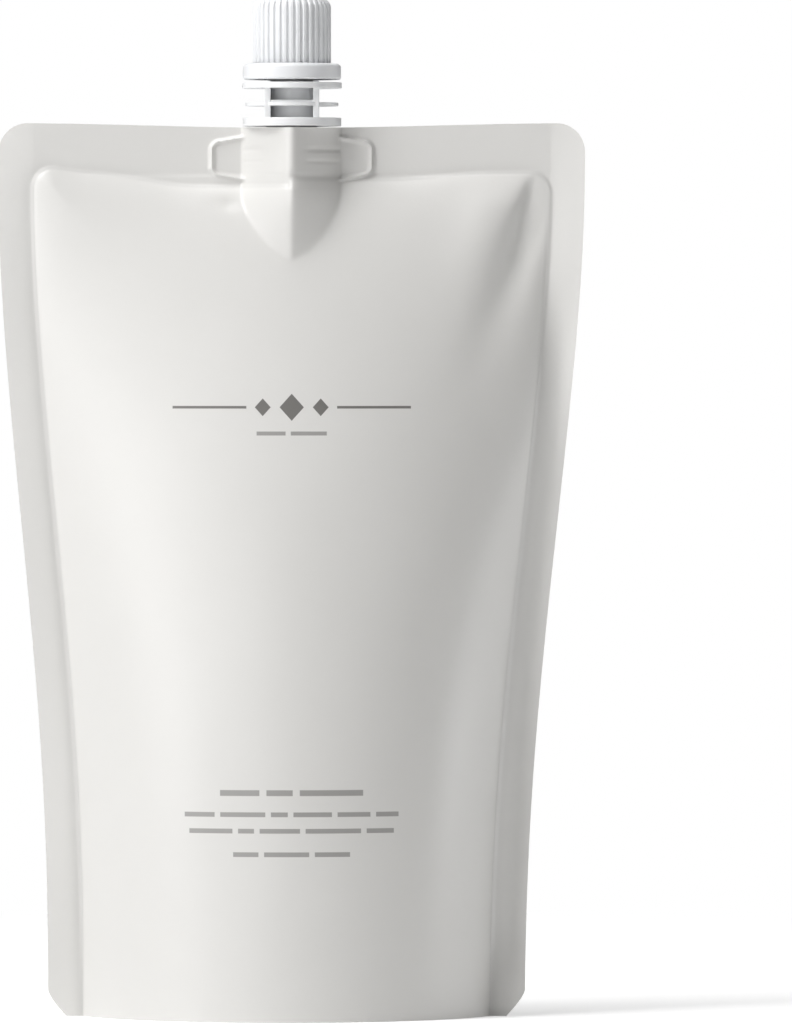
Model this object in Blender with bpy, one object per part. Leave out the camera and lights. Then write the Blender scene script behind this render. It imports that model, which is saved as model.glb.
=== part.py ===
"""Stand-up refill pack for liquid hand soap, with a moulded pour spout and a screw cap.

The filled film pack stands on its open bottom gusset. Z is up, the floor is at z = 0, the spout's axis is
the Z axis, and the front panel faces -Y. Every size is in metres, written as millimetres times MM.
"""

import math

import bmesh
import bpy

MM = 0.001

# Film pack: one sealed bag of laminated film with the soap in it
PACK_WIDTH = 126.0 * MM  # flat width across the top seal
PACK_HEIGHT = 192.0 * MM  # floor to the top corners
BASE_DEPTH = 57.6 * MM  # front to rear across the opened gusset
FILL_CURVE = 2.3  # how late the depth falls off towards the top seal
SIDE_SEAL = 7.5 * MM
TOP_SEAL = 10.7 * MM
SEAL_THICKNESS = 0.5 * MM
TOP_CORNER_RADIUS = 6.2 * MM
BOTTOM_CORNER_RADIUS = 5.0 * MM
TOP_EDGE_DIP = 1.0 * MM  # sag of the top edge at the spout
BASE_LEAN = -1.2 * MM  # sideways shift of the base from the spout's axis

# Bottom gusset, seen from below
SKIRT_THICKNESS = 0.8 * MM
SKIRT_HEIGHT = 4.5 * MM  # height of the bottom seal at the middle of the front
SKIRT_CURVE = 4  # how late the bottom seal climbs to the sides
GUSSET_HEIGHT = 21.0 * MM  # height of the gusset's fold at the side seals
GUSSET_SAG = 1.5 * MM  # how far the soap would push the fold below the floor
FOLD_CURVE = 5  # how late the fold climbs to the sides
GUSSET_END_DEPTH = 1.8 * MM  # half of the pack's depth where the gusset's hollow stops

# Hollow that runs down from the front right top corner
HOLLOW_SHARE = 0.5  # share of the local depth that the hollow takes away
HOLLOW_TOP_INSET = 6.5 * MM  # from the side seal's inner edge
HOLLOW_TOP_DROP = 6.0 * MM  # from the top seal's lower edge
HOLLOW_LENGTH = 62.0 * MM
HOLLOW_SPREAD = 26.0 * MM  # how far it runs towards the middle over its length
HOLLOW_WIDTH = 4.5 * MM
HOLLOW_FLARE = 1.6  # how much its width grows towards the lower end

# Film drawn over the spout
FILM_OVER_SPOUT = 0.5 * MM
WRAP_BELOW_EDGE = 0.25 * MM
WRAP_DROP = 2.8 * MM  # the drawn film stays round this far below the weld boat
KEEL_LENGTH = 16.5 * MM  # pointed part below that
KEEL_END_WIDTH = 2.0 * MM
KEEL_CURVE = 1.15
KEEL_BURIAL = 1.0 * MM
EAR_MARGIN = 1.35 * MM  # weld outline beyond the boat's tips
EAR_BELOW_BOAT = 0.6 * MM
EAR_BELOW_TOP = 0.4 * MM
EAR_CORNER_RADIUS = 2.0 * MM
EAR_HALF_THICKNESS = 1.4 * MM
EAR_EDGE = 0.6 * MM

# Spout: one moulding
BORE_RADIUS = 4.3 * MM
TUBE_WALL = 1.1 * MM
NECK_WALL = 1.3 * MM
TUBE_BELOW_BOAT = 8.0 * MM
BOAT_RADIUS = 9.8 * MM
BOAT_WALL = 1.2 * MM
BOAT_HEIGHT = 10.8 * MM
BOAT_ROOF = 1.6 * MM
BOAT_HALF_LENGTH = 16.4 * MM
WING_ROOT_HALF_THICKNESS = 0.6 * MM
WING_TIP_HALF_THICKNESS = 0.3 * MM
WING_STEP = 1.4 * MM  # the wings stop short of the boat's top and bottom
WING_ROOT_INSET = 0.2 * MM  # from the boat's inside to the end of the wing that is in its wall
WELD_RIB_COUNT = 4
WELD_RIB_DEPTH = 0.35 * MM
PACK_FLANGE_RADIUS = 10.6 * MM
PACK_FLANGE_HEIGHT = 1.8 * MM
LOWER_RAIL_GAP = 2.5 * MM
RAIL_FLANGE_RADIUS = 10.0 * MM
RAIL_FLANGE_HEIGHT = 0.75 * MM
RAIL_BAR_HEIGHT = 1.25 * MM
RAIL_BAR_DEPTH = 1.2 * MM
RAIL_BAR_INSET = 0.1 * MM
UPPER_RAIL_GAP = 3.05 * MM
TOP_FLANGE_RADIUS = 10.7 * MM
TOP_FLANGE_HEIGHT = 1.3 * MM
SIDE_PLATE_THICKNESS = 1.3 * MM
SIDE_PLATE_OFF_BORE = 0.25 * MM
SIDE_PLATE_INSET = 0.3 * MM  # of its corners from the top flange's edge
BEAD_HEIGHT = 0.7 * MM
BEAD_CHAMFER = 0.5 * MM

# Screw thread between neck and cap
THREAD_PITCH = 3.0 * MM
THREAD_DEPTH = 0.8 * MM
THREAD_ROOT_WIDTH = 1.3 * MM
THREAD_CREST_WIDTH = 0.6 * MM
THREAD_FADE = 0.1  # turns over which a thread runs out at each end
NECK_THREAD_TURNS = 1.75
NECK_THREAD_RISE = 2.6 * MM  # from the tamper band's plate to the start of the thread
CAP_THREAD_TURNS = 1.0

# Tamper band that stays on the neck
BAND_STANDOFF = 0.6 * MM  # above the spout's top flange
BAND_RIM_WALL = 1.85 * MM  # round the cap's lower edge
BAND_RIM_LAP = 0.4 * MM  # how far the rim hides the cap's lower edge
BAND_RIM_FLAT = 0.5 * MM
BAND_SHOULDER = 0.9 * MM
BAND_WALL = 1.65 * MM
BAND_EDGE_CHAMFER = 0.3 * MM
BAND_LIP_HEIGHT = 0.7 * MM
BAND_LIP_SLOPE = 0.1 * MM
BAND_LIP_BITE = 0.45 * MM  # how far the lip reaches under the bead
BAND_PLATE = 0.8 * MM

# Cap and liner
CAP_WALL = 1.7 * MM
CAP_HEIGHT = 14.4 * MM
CAP_CROWN = 1.6 * MM
CAP_TOP_ROUND = 2.2 * MM
RIB_COUNT = 36
RIB_DEPTH = 0.45 * MM
RIB_CREST = 0.48  # share of the rib pitch
RIB_FOOT = 0.72  # share of the rib pitch
LINER_THICKNESS = 1.0 * MM

# Clearances
GAP = 0.3 * MM  # between pieces that touch
THREAD_GAP = 0.3 * MM
BEAD_SIDE_GAP = 0.5 * MM  # between the bead and the band's wall
BAND_HOLE_GAP = 0.6 * MM  # between the band's plate and the neck's thread
OVERLAP = 0.3 * MM  # how far joined shapes run into each other
CUTTER_MARGIN = 2.0 * MM  # how far a cutter runs past the surface that it opens

# Facets
PANEL_COLUMNS = 26
BODY_ROWS = 22
ROW_CROWDING = 1.25  # above 1, rows lie closer together near the top
CORNER_STEPS = 4
GUSSET_COLUMNS = 24
GUSSET_LINES = 8
KEEL_STEPS = 6
ROUND_SEGMENTS = 48
LINER_SEGMENTS = 32
THREAD_SEGMENTS = 28
FLATNESS = math.radians(0.05)  # a four-sided face that bends more than this is split

# Worked out from the sizes above: the pack
TOP_OF_FILL = PACK_HEIGHT - TOP_SEAL
HALF_FILM = PACK_WIDTH / 2 - SIDE_SEAL  # half of a panel's width between the side seals, along the film
HALF_SEAL = SEAL_THICKNESS / 2
SPOUT_EDGE_Z = PACK_HEIGHT - TOP_EDGE_DIP
WIDEST_CORNER = 0.85 * SIDE_SEAL  # a corner round stays within the side seal
TOP_ROUND = min(TOP_CORNER_RADIUS, WIDEST_CORNER)
BOTTOM_ROUND = min(BOTTOM_CORNER_RADIUS, WIDEST_CORNER)

# Worked out from the sizes above: heights up the spout
PACK_FLANGE_BOTTOM = SPOUT_EDGE_Z + GAP
PACK_FLANGE_TOP = PACK_FLANGE_BOTTOM + PACK_FLANGE_HEIGHT
RAIL_FLANGE_BOTTOM = PACK_FLANGE_TOP + LOWER_RAIL_GAP
RAIL_FLANGE_TOP = RAIL_FLANGE_BOTTOM + RAIL_FLANGE_HEIGHT
TOP_FLANGE_BOTTOM = RAIL_FLANGE_TOP + UPPER_RAIL_GAP
TOP_FLANGE_TOP = TOP_FLANGE_BOTTOM + TOP_FLANGE_HEIGHT
BAND_BOTTOM = TOP_FLANGE_TOP + BAND_STANDOFF
BAND_LIP_TOP = BAND_BOTTOM + BAND_LIP_HEIGHT
BEAD_BOTTOM = BAND_LIP_TOP + GAP
BEAD_TOP = BEAD_BOTTOM + BEAD_HEIGHT
BAND_PLATE_BOTTOM = BEAD_TOP + GAP
BAND_PLATE_TOP = BAND_PLATE_BOTTOM + BAND_PLATE
CAP_BOTTOM = BAND_PLATE_TOP + GAP
BAND_TOP = CAP_BOTTOM + BAND_RIM_LAP
CAP_TOP = CAP_BOTTOM + CAP_HEIGHT
CAP_CEILING = CAP_TOP - CAP_CROWN
LINER_TOP = CAP_CEILING - GAP
LINER_BOTTOM = LINER_TOP - LINER_THICKNESS
SPOUT_RIM = LINER_BOTTOM - GAP
BOAT_TOP = SPOUT_EDGE_Z - GAP
BOAT_BOTTOM = BOAT_TOP - BOAT_HEIGHT
TUBE_BOTTOM = BOAT_BOTTOM - TUBE_BELOW_BOAT
NECK_THREAD_START = BAND_PLATE_TOP + NECK_THREAD_RISE

# Worked out from the sizes above: radii, from the bore outwards
TUBE_RADIUS = BORE_RADIUS + TUBE_WALL
NECK_RADIUS = BORE_RADIUS + NECK_WALL
NECK_THREAD_RADIUS = NECK_RADIUS + THREAD_DEPTH
CAP_BORE_RADIUS = NECK_THREAD_RADIUS + THREAD_GAP
CAP_RADIUS = CAP_BORE_RADIUS + CAP_WALL
LINER_RADIUS = CAP_BORE_RADIUS - GAP
BAND_RECESS_RADIUS = CAP_RADIUS + GAP
BAND_RADIUS = BAND_RECESS_RADIUS + BAND_RIM_WALL
BAND_INNER_RADIUS = BAND_RADIUS - BAND_WALL
BAND_HOLE_RADIUS = NECK_THREAD_RADIUS + BAND_HOLE_GAP
BEAD_RADIUS = BAND_INNER_RADIUS - BEAD_SIDE_GAP
BAND_LIP_RADIUS = BEAD_RADIUS - BAND_LIP_BITE
BOAT_INSIDE_RADIUS = BOAT_RADIUS - BOAT_WALL
WRAP_RADIUS = BOAT_RADIUS + GAP + FILM_OVER_SPOUT
SIDE_PLATE_INNER = BORE_RADIUS + SIDE_PLATE_OFF_BORE
SIDE_PLATE_OUTER = SIDE_PLATE_INNER + SIDE_PLATE_THICKNESS
SIDE_PLATE_HALF_LENGTH = math.sqrt((TOP_FLANGE_RADIUS - SIDE_PLATE_INSET) ** 2 - SIDE_PLATE_OUTER**2)


def clear_scene():
    for old in list(bpy.data.objects):
        bpy.data.objects.remove(old)


def plain_material(name, colour, roughness):
    material = bpy.data.materials.new(name)
    material.use_nodes = True
    shader = material.node_tree.nodes["Principled BSDF"]
    shader.inputs["Base Color"].default_value = (*colour, 1.0)
    shader.inputs["Roughness"].default_value = roughness
    shader.inputs["Metallic"].default_value = 0.0
    return material


# Ways to make a solid


def object_from(name, shape, material=None, smooth_angle=math.radians(35)):
    """A named object from a bmesh, with its faces flat and pointing out."""
    bmesh.ops.connect_verts_nonplanar(shape, angle_limit=FLATNESS, faces=shape.faces)
    bmesh.ops.recalc_face_normals(shape, faces=shape.faces)
    mesh = bpy.data.meshes.new(name)
    shape.to_mesh(mesh)
    shape.free()
    if material:
        mesh.materials.append(material)
    mesh.shade_smooth()
    mesh.set_sharp_from_angle(angle=smooth_angle)
    made = bpy.data.objects.new(name, mesh)
    bpy.context.scene.collection.objects.link(made)
    return made


def combine(target, tools, operation):
    """Boolean modifiers on the target. Each tool is left as a hidden wire shape."""
    for tool in tools:
        tool.hide_render = True
        tool.display_type = "WIRE"
        step = target.modifiers.new(f"{operation.lower()} {tool.name}", "BOOLEAN")
        step.operation = operation
        step.object = tool


def skin_between(shape, rings, capped):
    """Faces between closed rings of equal length, with a face over each end if capped."""
    for lower, upper in zip(rings, rings[1:]):
        count = len(lower)
        for i in range(count):
            j = (i + 1) % count
            shape.faces.new((lower[i], lower[j], upper[j], upper[i]))
    if capped:
        shape.faces.new(rings[0])
        shape.faces.new(rings[-1])


def turned(name, profile, material=None):
    """A solid of revolution about Z from a closed outline of (radius, height) points."""
    shape = bmesh.new()
    points = [shape.verts.new((radius, 0.0, height)) for radius, height in profile]
    edges = [shape.edges.new((points[i - 1], points[i])) for i in range(len(points))]
    bmesh.ops.spin(
        shape,
        geom=points + edges,
        cent=(0, 0, 0),
        axis=(0, 0, 1),
        angle=math.tau,
        steps=ROUND_SEGMENTS,
        use_merge=True,
    )
    return object_from(name, shape, material)


def disc(name, radius, bottom, top, material=None, segments=ROUND_SEGMENTS):
    """A plain round bar between two heights."""
    shape = bmesh.new()
    angles = [math.tau * k / segments for k in range(segments)]
    rings = []
    for height in (bottom, top):
        rings.append([shape.verts.new((radius * math.cos(a), radius * math.sin(a), height)) for a in angles])
    skin_between(shape, rings, capped=True)
    return object_from(name, shape, material)


def bar(name, outline, bottom, top):
    """An upright bar with an outline of (x, y) points."""
    shape = bmesh.new()
    rings = [[shape.verts.new((x, y, z)) for x, y in outline] for z in (bottom, top)]
    skin_between(shape, rings, capped=True)
    return object_from(name, shape)


def box_outline(x_near, x_far, y_near, y_far):
    return (x_near, y_near), (x_far, y_near), (x_far, y_far), (x_near, y_far)


# Shape of the filled pack


def smooth_step(value):
    value = min(1.0, max(0.0, value))
    return value * value * (3 - 2 * value)


def fill_depth(z):
    """Half of the pack's depth at its middle."""
    if z >= TOP_OF_FILL:
        return 0.0
    return BASE_DEPTH / 2 * (1 - (z / TOP_OF_FILL) ** FILL_CURVE)


def wrap_angle(depth):
    """Half angle of the arc that a panel of fixed film width takes when its middle stands out by depth."""
    low, high = 0.0, 2.3
    for _ in range(50):
        middle = (low + high) / 2
        if HALF_FILM * (1 - math.cos(middle)) > depth * middle:
            high = middle
        else:
            low = middle
    return low


def panel_point(z, share):
    """(x, depth) on a panel at a height. Share runs from -1 to 1 along the film between the side seals."""
    angle = wrap_angle(fill_depth(z))
    if angle < 1e-6:
        return HALF_FILM * share, 0.0
    radius = HALF_FILM / angle
    return radius * math.sin(angle * share), radius * (math.cos(angle * share) - math.cos(angle))


def lean(z):
    return BASE_LEAN * (1 - z / PACK_HEIGHT)


def corner_cut(z):
    """How far the rounded corners take the side edge in."""
    if z < BOTTOM_ROUND:
        return BOTTOM_ROUND - math.sqrt(BOTTOM_ROUND**2 - (BOTTOM_ROUND - z) ** 2)
    above = z - (PACK_HEIGHT - TOP_ROUND)
    if above > 0:
        return TOP_ROUND - math.sqrt(max(0.0, TOP_ROUND**2 - above**2))
    return 0.0


def hollow_share(x, z):
    """Share of the front's depth lost in the hollow at the right top corner."""
    run = math.hypot(HOLLOW_SPREAD, HOLLOW_LENGTH)
    along_x = -HOLLOW_SPREAD / run
    along_z = -HOLLOW_LENGTH / run
    from_x = x - (HALF_FILM - HOLLOW_TOP_INSET)
    from_z = z - (TOP_OF_FILL - HOLLOW_TOP_DROP)
    along = from_x * along_x + from_z * along_z
    across = from_x * along_z - from_z * along_x
    travel = min(1.0, max(0.0, along / run))
    beyond = along - travel * run
    width = HOLLOW_WIDTH * (1 + HOLLOW_FLARE * travel)
    return HOLLOW_SHARE * (1 - smooth_step(travel)) * math.exp(-(across**2 + beyond**2) / width**2)


def row_heights():
    quarter = [math.pi / 2 * k / CORNER_STEPS for k in range(CORNER_STEPS + 1)]
    shares = [(k + 1) / BODY_ROWS for k in range(BODY_ROWS)]
    body = TOP_OF_FILL - BOTTOM_ROUND
    heights = [BOTTOM_ROUND * (1 - math.cos(a)) for a in quarter]
    heights += [BOTTOM_ROUND + body * (1 - (1 - share) ** ROW_CROWDING) for share in shares]
    heights += [PACK_HEIGHT - TOP_ROUND + TOP_ROUND * math.sin(a) for a in quarter]
    return heights


def pack_row(z):
    """Front and rear points of the pack at a height, from the left edge to the right one."""
    side = panel_point(z, 1.0)[0] + SIDE_SEAL - corner_cut(z)
    shares = [2 * i / PANEL_COLUMNS - 1 for i in range(PANEL_COLUMNS + 1)]
    middle = [panel_point(z, share) for share in shares]
    front, rear = [], []
    for x, depth in [(-side, 0.0), *middle, (side, 0.0)]:
        lowered = 0.0
        if z > TOP_OF_FILL:
            lowered = TOP_EDGE_DIP * (z - TOP_OF_FILL) / TOP_SEAL * math.cos(math.pi * x / PACK_WIDTH) ** 2
        front.append((x + lean(z), -HALF_SEAL - depth * (1 - hollow_share(x, z)), z - lowered))
        rear.append((x + lean(z), HALF_SEAL + depth, z - lowered))
    return front, rear


def filled_bag():
    """The bag before the spout is drawn in: two bowed panels joined by flat seals."""
    shape = bmesh.new()
    rows = []
    for z in row_heights():
        front, rear = pack_row(z)
        rows.append([shape.verts.new(point) for point in front + rear[::-1]])
    skin_between(shape, rows, capped=False)
    for row in (rows[0], rows[-1]):
        for i in range(len(row) // 2 - 1):
            shape.faces.new((row[i], row[i + 1], row[-2 - i], row[-1 - i]))
    return shape


def gusset_hollow():
    """Cutter for the space under the folded-in bottom film. Its roof dips below the floor in the middle,
    where the soap presses the film flat."""
    reach = 1.0
    while panel_point(0.0, reach)[1] < GUSSET_END_DEPTH:
        reach -= 0.005
    shape = bmesh.new()
    roof, floor = [], []
    for i in range(GUSSET_COLUMNS + 1):
        run = 2 * i / GUSSET_COLUMNS - 1
        x, depth = panel_point(0.0, reach * run)
        half_width = depth - SKIRT_THICKNESS + HALF_SEAL
        skirt = SKIRT_HEIGHT + (GUSSET_HEIGHT - SKIRT_HEIGHT) * abs(run) ** SKIRT_CURVE
        fold = -GUSSET_SAG + (GUSSET_HEIGHT + GUSSET_SAG) * abs(run) ** FOLD_CURVE
        roof_line, floor_line = [], []
        for j in range(GUSSET_LINES + 1):
            across = 2 * j / GUSSET_LINES - 1
            x_y = (x + lean(0.0), half_width * across)
            roof_line.append(shape.verts.new((*x_y, fold + (skirt - fold) * across**2)))
            floor_line.append(shape.verts.new((*x_y, -GUSSET_SAG - CUTTER_MARGIN)))
        roof.append(roof_line)
        floor.append(floor_line)
    for sheet in (roof, floor):
        for i in range(GUSSET_COLUMNS):
            for j in range(GUSSET_LINES):
                shape.faces.new((sheet[i][j], sheet[i + 1][j], sheet[i + 1][j + 1], sheet[i][j + 1]))
    for j in (0, GUSSET_LINES):
        for i in range(GUSSET_COLUMNS):
            shape.faces.new((roof[i][j], roof[i + 1][j], floor[i + 1][j], floor[i][j]))
    for i in (0, GUSSET_COLUMNS):
        for j in range(GUSSET_LINES):
            shape.faces.new((roof[i][j], roof[i][j + 1], floor[i][j + 1], floor[i][j]))
    return object_from("gusset hollow", shape)


def spout_wrap():
    """Film drawn round the spout: a half round sleeve that runs out below in a pointed keel."""
    shoulder = BOAT_BOTTOM - WRAP_DROP
    end_depth = fill_depth(shoulder - KEEL_LENGTH) - KEEL_BURIAL
    levels = [(SPOUT_EDGE_Z - WRAP_BELOW_EDGE, 0.0)]
    levels += [(shoulder - KEEL_LENGTH * k / KEEL_STEPS, k / KEEL_STEPS) for k in range(KEEL_STEPS + 1)]
    angles = [math.tau * k / ROUND_SEGMENTS for k in range(ROUND_SEGMENTS)]
    shape = bmesh.new()
    rings = []
    for z, run in levels:
        half_width = WRAP_RADIUS + (KEEL_END_WIDTH / 2 - WRAP_RADIUS) * run**KEEL_CURVE
        half_depth = WRAP_RADIUS + (end_depth - WRAP_RADIUS) * run
        ring = []
        for angle in angles:
            c, s = math.cos(angle), math.sin(angle)
            # The section turns from a circle into a diamond as the keel runs out.
            size = 1 + (1 / (abs(c) + abs(s)) - 1) * run
            ring.append(shape.verts.new((half_width * size * c + lean(z), half_depth * size * s, z)))
        rings.append(ring)
    skin_between(shape, rings, capped=True)
    return object_from("spout wrap", shape)


def rounded_outline(half_length, bottom, top, radius, inset):
    """(x, z) points of a round-cornered rectangle, moved in by inset."""
    points = []
    for sign_x, sign_z, start in ((1, 1, 0), (-1, 1, 90), (-1, -1, 180), (1, -1, 270)):
        centre_x = sign_x * (half_length - radius)
        centre_z = top - radius if sign_z > 0 else bottom + radius
        for k in range(CORNER_STEPS + 1):
            angle = math.radians(start + 90 * k / CORNER_STEPS)
            round_in = radius - inset
            points.append((centre_x + round_in * math.cos(angle), centre_z + round_in * math.sin(angle)))
    return points


def weld_ears():
    """Raised weld area on both sides of the spout, where the film covers the boat's wings."""
    flank = EAR_HALF_THICKNESS - EAR_EDGE
    levels = ((-EAR_HALF_THICKNESS, EAR_EDGE), (-flank, 0.0), (flank, 0.0), (EAR_HALF_THICKNESS, EAR_EDGE))
    shape = bmesh.new()
    rings = []
    for y, inset in levels:
        outline = rounded_outline(
            BOAT_HALF_LENGTH + EAR_MARGIN,
            BOAT_BOTTOM - EAR_BELOW_BOAT,
            BOAT_TOP - EAR_BELOW_TOP,
            EAR_CORNER_RADIUS,
            inset,
        )
        rings.append([shape.verts.new((x, y, z)) for x, z in outline])
    skin_between(shape, rings, capped=True)
    return object_from("weld ears", shape)


def boat_wings(name, grow):
    """The weld boat's two flat wings, or their room in the film when they are grown by a gap."""
    bottom = BOAT_BOTTOM + WING_STEP - grow
    top = BOAT_TOP - WING_STEP + grow
    root = WING_ROOT_HALF_THICKNESS + grow
    tip = WING_TIP_HALF_THICKNESS + grow
    wings = []
    for side in (-1, 1):
        near = side * (BOAT_INSIDE_RADIUS + WING_ROOT_INSET)
        far = side * (BOAT_HALF_LENGTH + grow)
        outline = ((near, -root), (far, -tip), (far, tip), (near, root))
        wings.append(bar(f"{name} {side}", outline, bottom, top))
    return wings


def spout_socket():
    """Cutters for the space that the spout takes in the pack, open at the top."""
    return [
        disc("boat room", BOAT_RADIUS + GAP, BOAT_BOTTOM - GAP, SPOUT_EDGE_Z + CUTTER_MARGIN),
        disc("tube room", TUBE_RADIUS + GAP, TUBE_BOTTOM - GAP, BOAT_BOTTOM),
        *boat_wings("wing room", GAP),
    ]


def make_film_pack(material):
    pack = object_from("film_pack", filled_bag(), material, math.radians(28))
    combine(pack, [spout_wrap(), weld_ears()], "UNION")
    combine(pack, [gusset_hollow(), *spout_socket()], "DIFFERENCE")
    return pack


# Spout and closure


def thread_ridge(name, start_z, turns, foot_radius, end_radius, crest_radius):
    """A helical ridge that rises from a wall and fades into it at both ends."""
    steps = round(turns * THREAD_SEGMENTS)
    shape = bmesh.new()
    rings = []
    for k in range(steps + 1):
        angle = math.tau * turns * k / steps
        height = start_z + THREAD_PITCH * angle / math.tau
        fade = min(1.0, min(k, steps - k) / steps * turns / THREAD_FADE)
        crest = end_radius + (crest_radius - end_radius) * fade
        section = (
            (foot_radius, -THREAD_ROOT_WIDTH / 2),
            (crest, -THREAD_CREST_WIDTH / 2),
            (crest, THREAD_CREST_WIDTH / 2),
            (foot_radius, THREAD_ROOT_WIDTH / 2),
        )
        c, s = math.cos(angle), math.sin(angle)
        rings.append([shape.verts.new((radius * c, radius * s, height + dz)) for radius, dz in section])
    skin_between(shape, rings, capped=True)
    return object_from(name, shape)


def weld_rib_points():
    """Outline up the boat's wall, with ribs that the film melts on to."""
    pitch = BOAT_HEIGHT / (2 * WELD_RIB_COUNT - 1)
    points = []
    for k in range(WELD_RIB_COUNT):
        foot = BOAT_BOTTOM + 2 * k * pitch
        points += [(BOAT_RADIUS, foot), (BOAT_RADIUS, foot + pitch)]
        if k < WELD_RIB_COUNT - 1:
            groove = BOAT_RADIUS - WELD_RIB_DEPTH
            points += [(groove, foot + pitch), (groove, foot + 2 * pitch)]
    return points


def flange_points(radius, bottom, top):
    return [(TUBE_RADIUS, bottom), (radius, bottom), (radius, top), (TUBE_RADIUS, top)]


def make_spout(material):
    inside = BORE_RADIUS - OVERLAP
    profile = [
        (inside, TUBE_BOTTOM),
        (TUBE_RADIUS, TUBE_BOTTOM),
        (TUBE_RADIUS, BOAT_TOP - BOAT_ROOF),
        (BOAT_INSIDE_RADIUS, BOAT_TOP - BOAT_ROOF),
        (BOAT_INSIDE_RADIUS, BOAT_BOTTOM),
        *weld_rib_points(),
        (TUBE_RADIUS, BOAT_TOP),
        *flange_points(PACK_FLANGE_RADIUS, PACK_FLANGE_BOTTOM, PACK_FLANGE_TOP),
        *flange_points(RAIL_FLANGE_RADIUS, RAIL_FLANGE_BOTTOM, RAIL_FLANGE_TOP),
        *flange_points(TOP_FLANGE_RADIUS, TOP_FLANGE_BOTTOM, TOP_FLANGE_TOP)[:3],
        (NECK_RADIUS, TOP_FLANGE_TOP),
        (NECK_RADIUS, BEAD_BOTTOM),
        (BEAD_RADIUS, BEAD_BOTTOM),
        (BEAD_RADIUS, BEAD_TOP - BEAD_HEIGHT / 2),
        (NECK_RADIUS + BEAD_CHAMFER, BEAD_TOP),
        (NECK_RADIUS, BEAD_TOP + BEAD_CHAMFER),
        (NECK_RADIUS, SPOUT_RIM),
        (inside, SPOUT_RIM),
    ]
    spout = turned("pour_spout", profile, material)
    neck_thread = thread_ridge(
        "neck thread",
        NECK_THREAD_START,
        NECK_THREAD_TURNS,
        NECK_RADIUS - OVERLAP,
        NECK_RADIUS - OVERLAP / 3,
        NECK_THREAD_RADIUS,
    )
    ribs = [*boat_wings("wing", 0.0), *side_plates(), *rail_bars()]
    combine(spout, [*ribs, neck_thread], "UNION")
    combine(spout, [disc("bore", BORE_RADIUS, TUBE_BOTTOM - OVERLAP, SPOUT_RIM + OVERLAP)], "DIFFERENCE")
    return spout


def side_plates():
    """Two flat plates beside the bore that tie the flanges together."""
    plates = []
    for side in (-1, 1):
        outline = box_outline(
            side * SIDE_PLATE_INNER, side * SIDE_PLATE_OUTER, -SIDE_PLATE_HALF_LENGTH, SIDE_PLATE_HALF_LENGTH
        )
        plates.append(bar(f"side plate {side}", outline, PACK_FLANGE_TOP - OVERLAP, BAND_BOTTOM - GAP))
    return plates


def rail_bars():
    """Bars across the front and the rear of the rail flange, between the side plates."""
    middle = (SIDE_PLATE_INNER + SIDE_PLATE_OUTER) / 2
    far = SIDE_PLATE_HALF_LENGTH - RAIL_BAR_INSET
    bars = []
    for side in (-1, 1):
        outline = box_outline(-middle, middle, side * (far - RAIL_BAR_DEPTH), side * far)
        bottom = RAIL_FLANGE_BOTTOM + RAIL_FLANGE_HEIGHT / 2
        bars.append(bar(f"rail bar {side}", outline, bottom, RAIL_FLANGE_BOTTOM + RAIL_BAR_HEIGHT))
    return bars


def make_tamper_band(material):
    shoulder_foot = BAND_RECESS_RADIUS + BAND_RIM_FLAT
    shoulder_run = BAND_RADIUS - shoulder_foot
    profile = [
        (BAND_LIP_RADIUS, BAND_BOTTOM),
        (BAND_RADIUS - BAND_EDGE_CHAMFER, BAND_BOTTOM),
        (BAND_RADIUS, BAND_BOTTOM + BAND_EDGE_CHAMFER),
    ]
    for k in range(CORNER_STEPS + 1):
        angle = math.pi / 2 * k / CORNER_STEPS
        height = BAND_TOP - BAND_SHOULDER * (1 - math.sin(angle))
        profile.append((shoulder_foot + shoulder_run * math.cos(angle), height))
    profile += [
        (BAND_RECESS_RADIUS, BAND_TOP),
        (BAND_RECESS_RADIUS, BAND_PLATE_TOP),
        (BAND_HOLE_RADIUS, BAND_PLATE_TOP),
        (BAND_HOLE_RADIUS, BAND_PLATE_BOTTOM),
        (BAND_INNER_RADIUS, BAND_PLATE_BOTTOM),
        (BAND_INNER_RADIUS, BAND_LIP_TOP),
        (BAND_LIP_RADIUS, BAND_LIP_TOP - BAND_LIP_SLOPE),
    ]
    return turned("tamper_band", profile, material)


def cap_levels():
    """(height, how far the surface is drawn in, share of the rib depth) up the cap."""
    levels = [(CAP_BOTTOM, 0.0, 1.0)]
    for k in range(CORNER_STEPS + 1):
        angle = math.pi / 2 * k / CORNER_STEPS
        height = CAP_TOP - CAP_TOP_ROUND * (1 - math.sin(angle))
        levels.append((height, CAP_TOP_ROUND * (1 - math.cos(angle)), 1 - k / CORNER_STEPS))
    return levels


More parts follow.
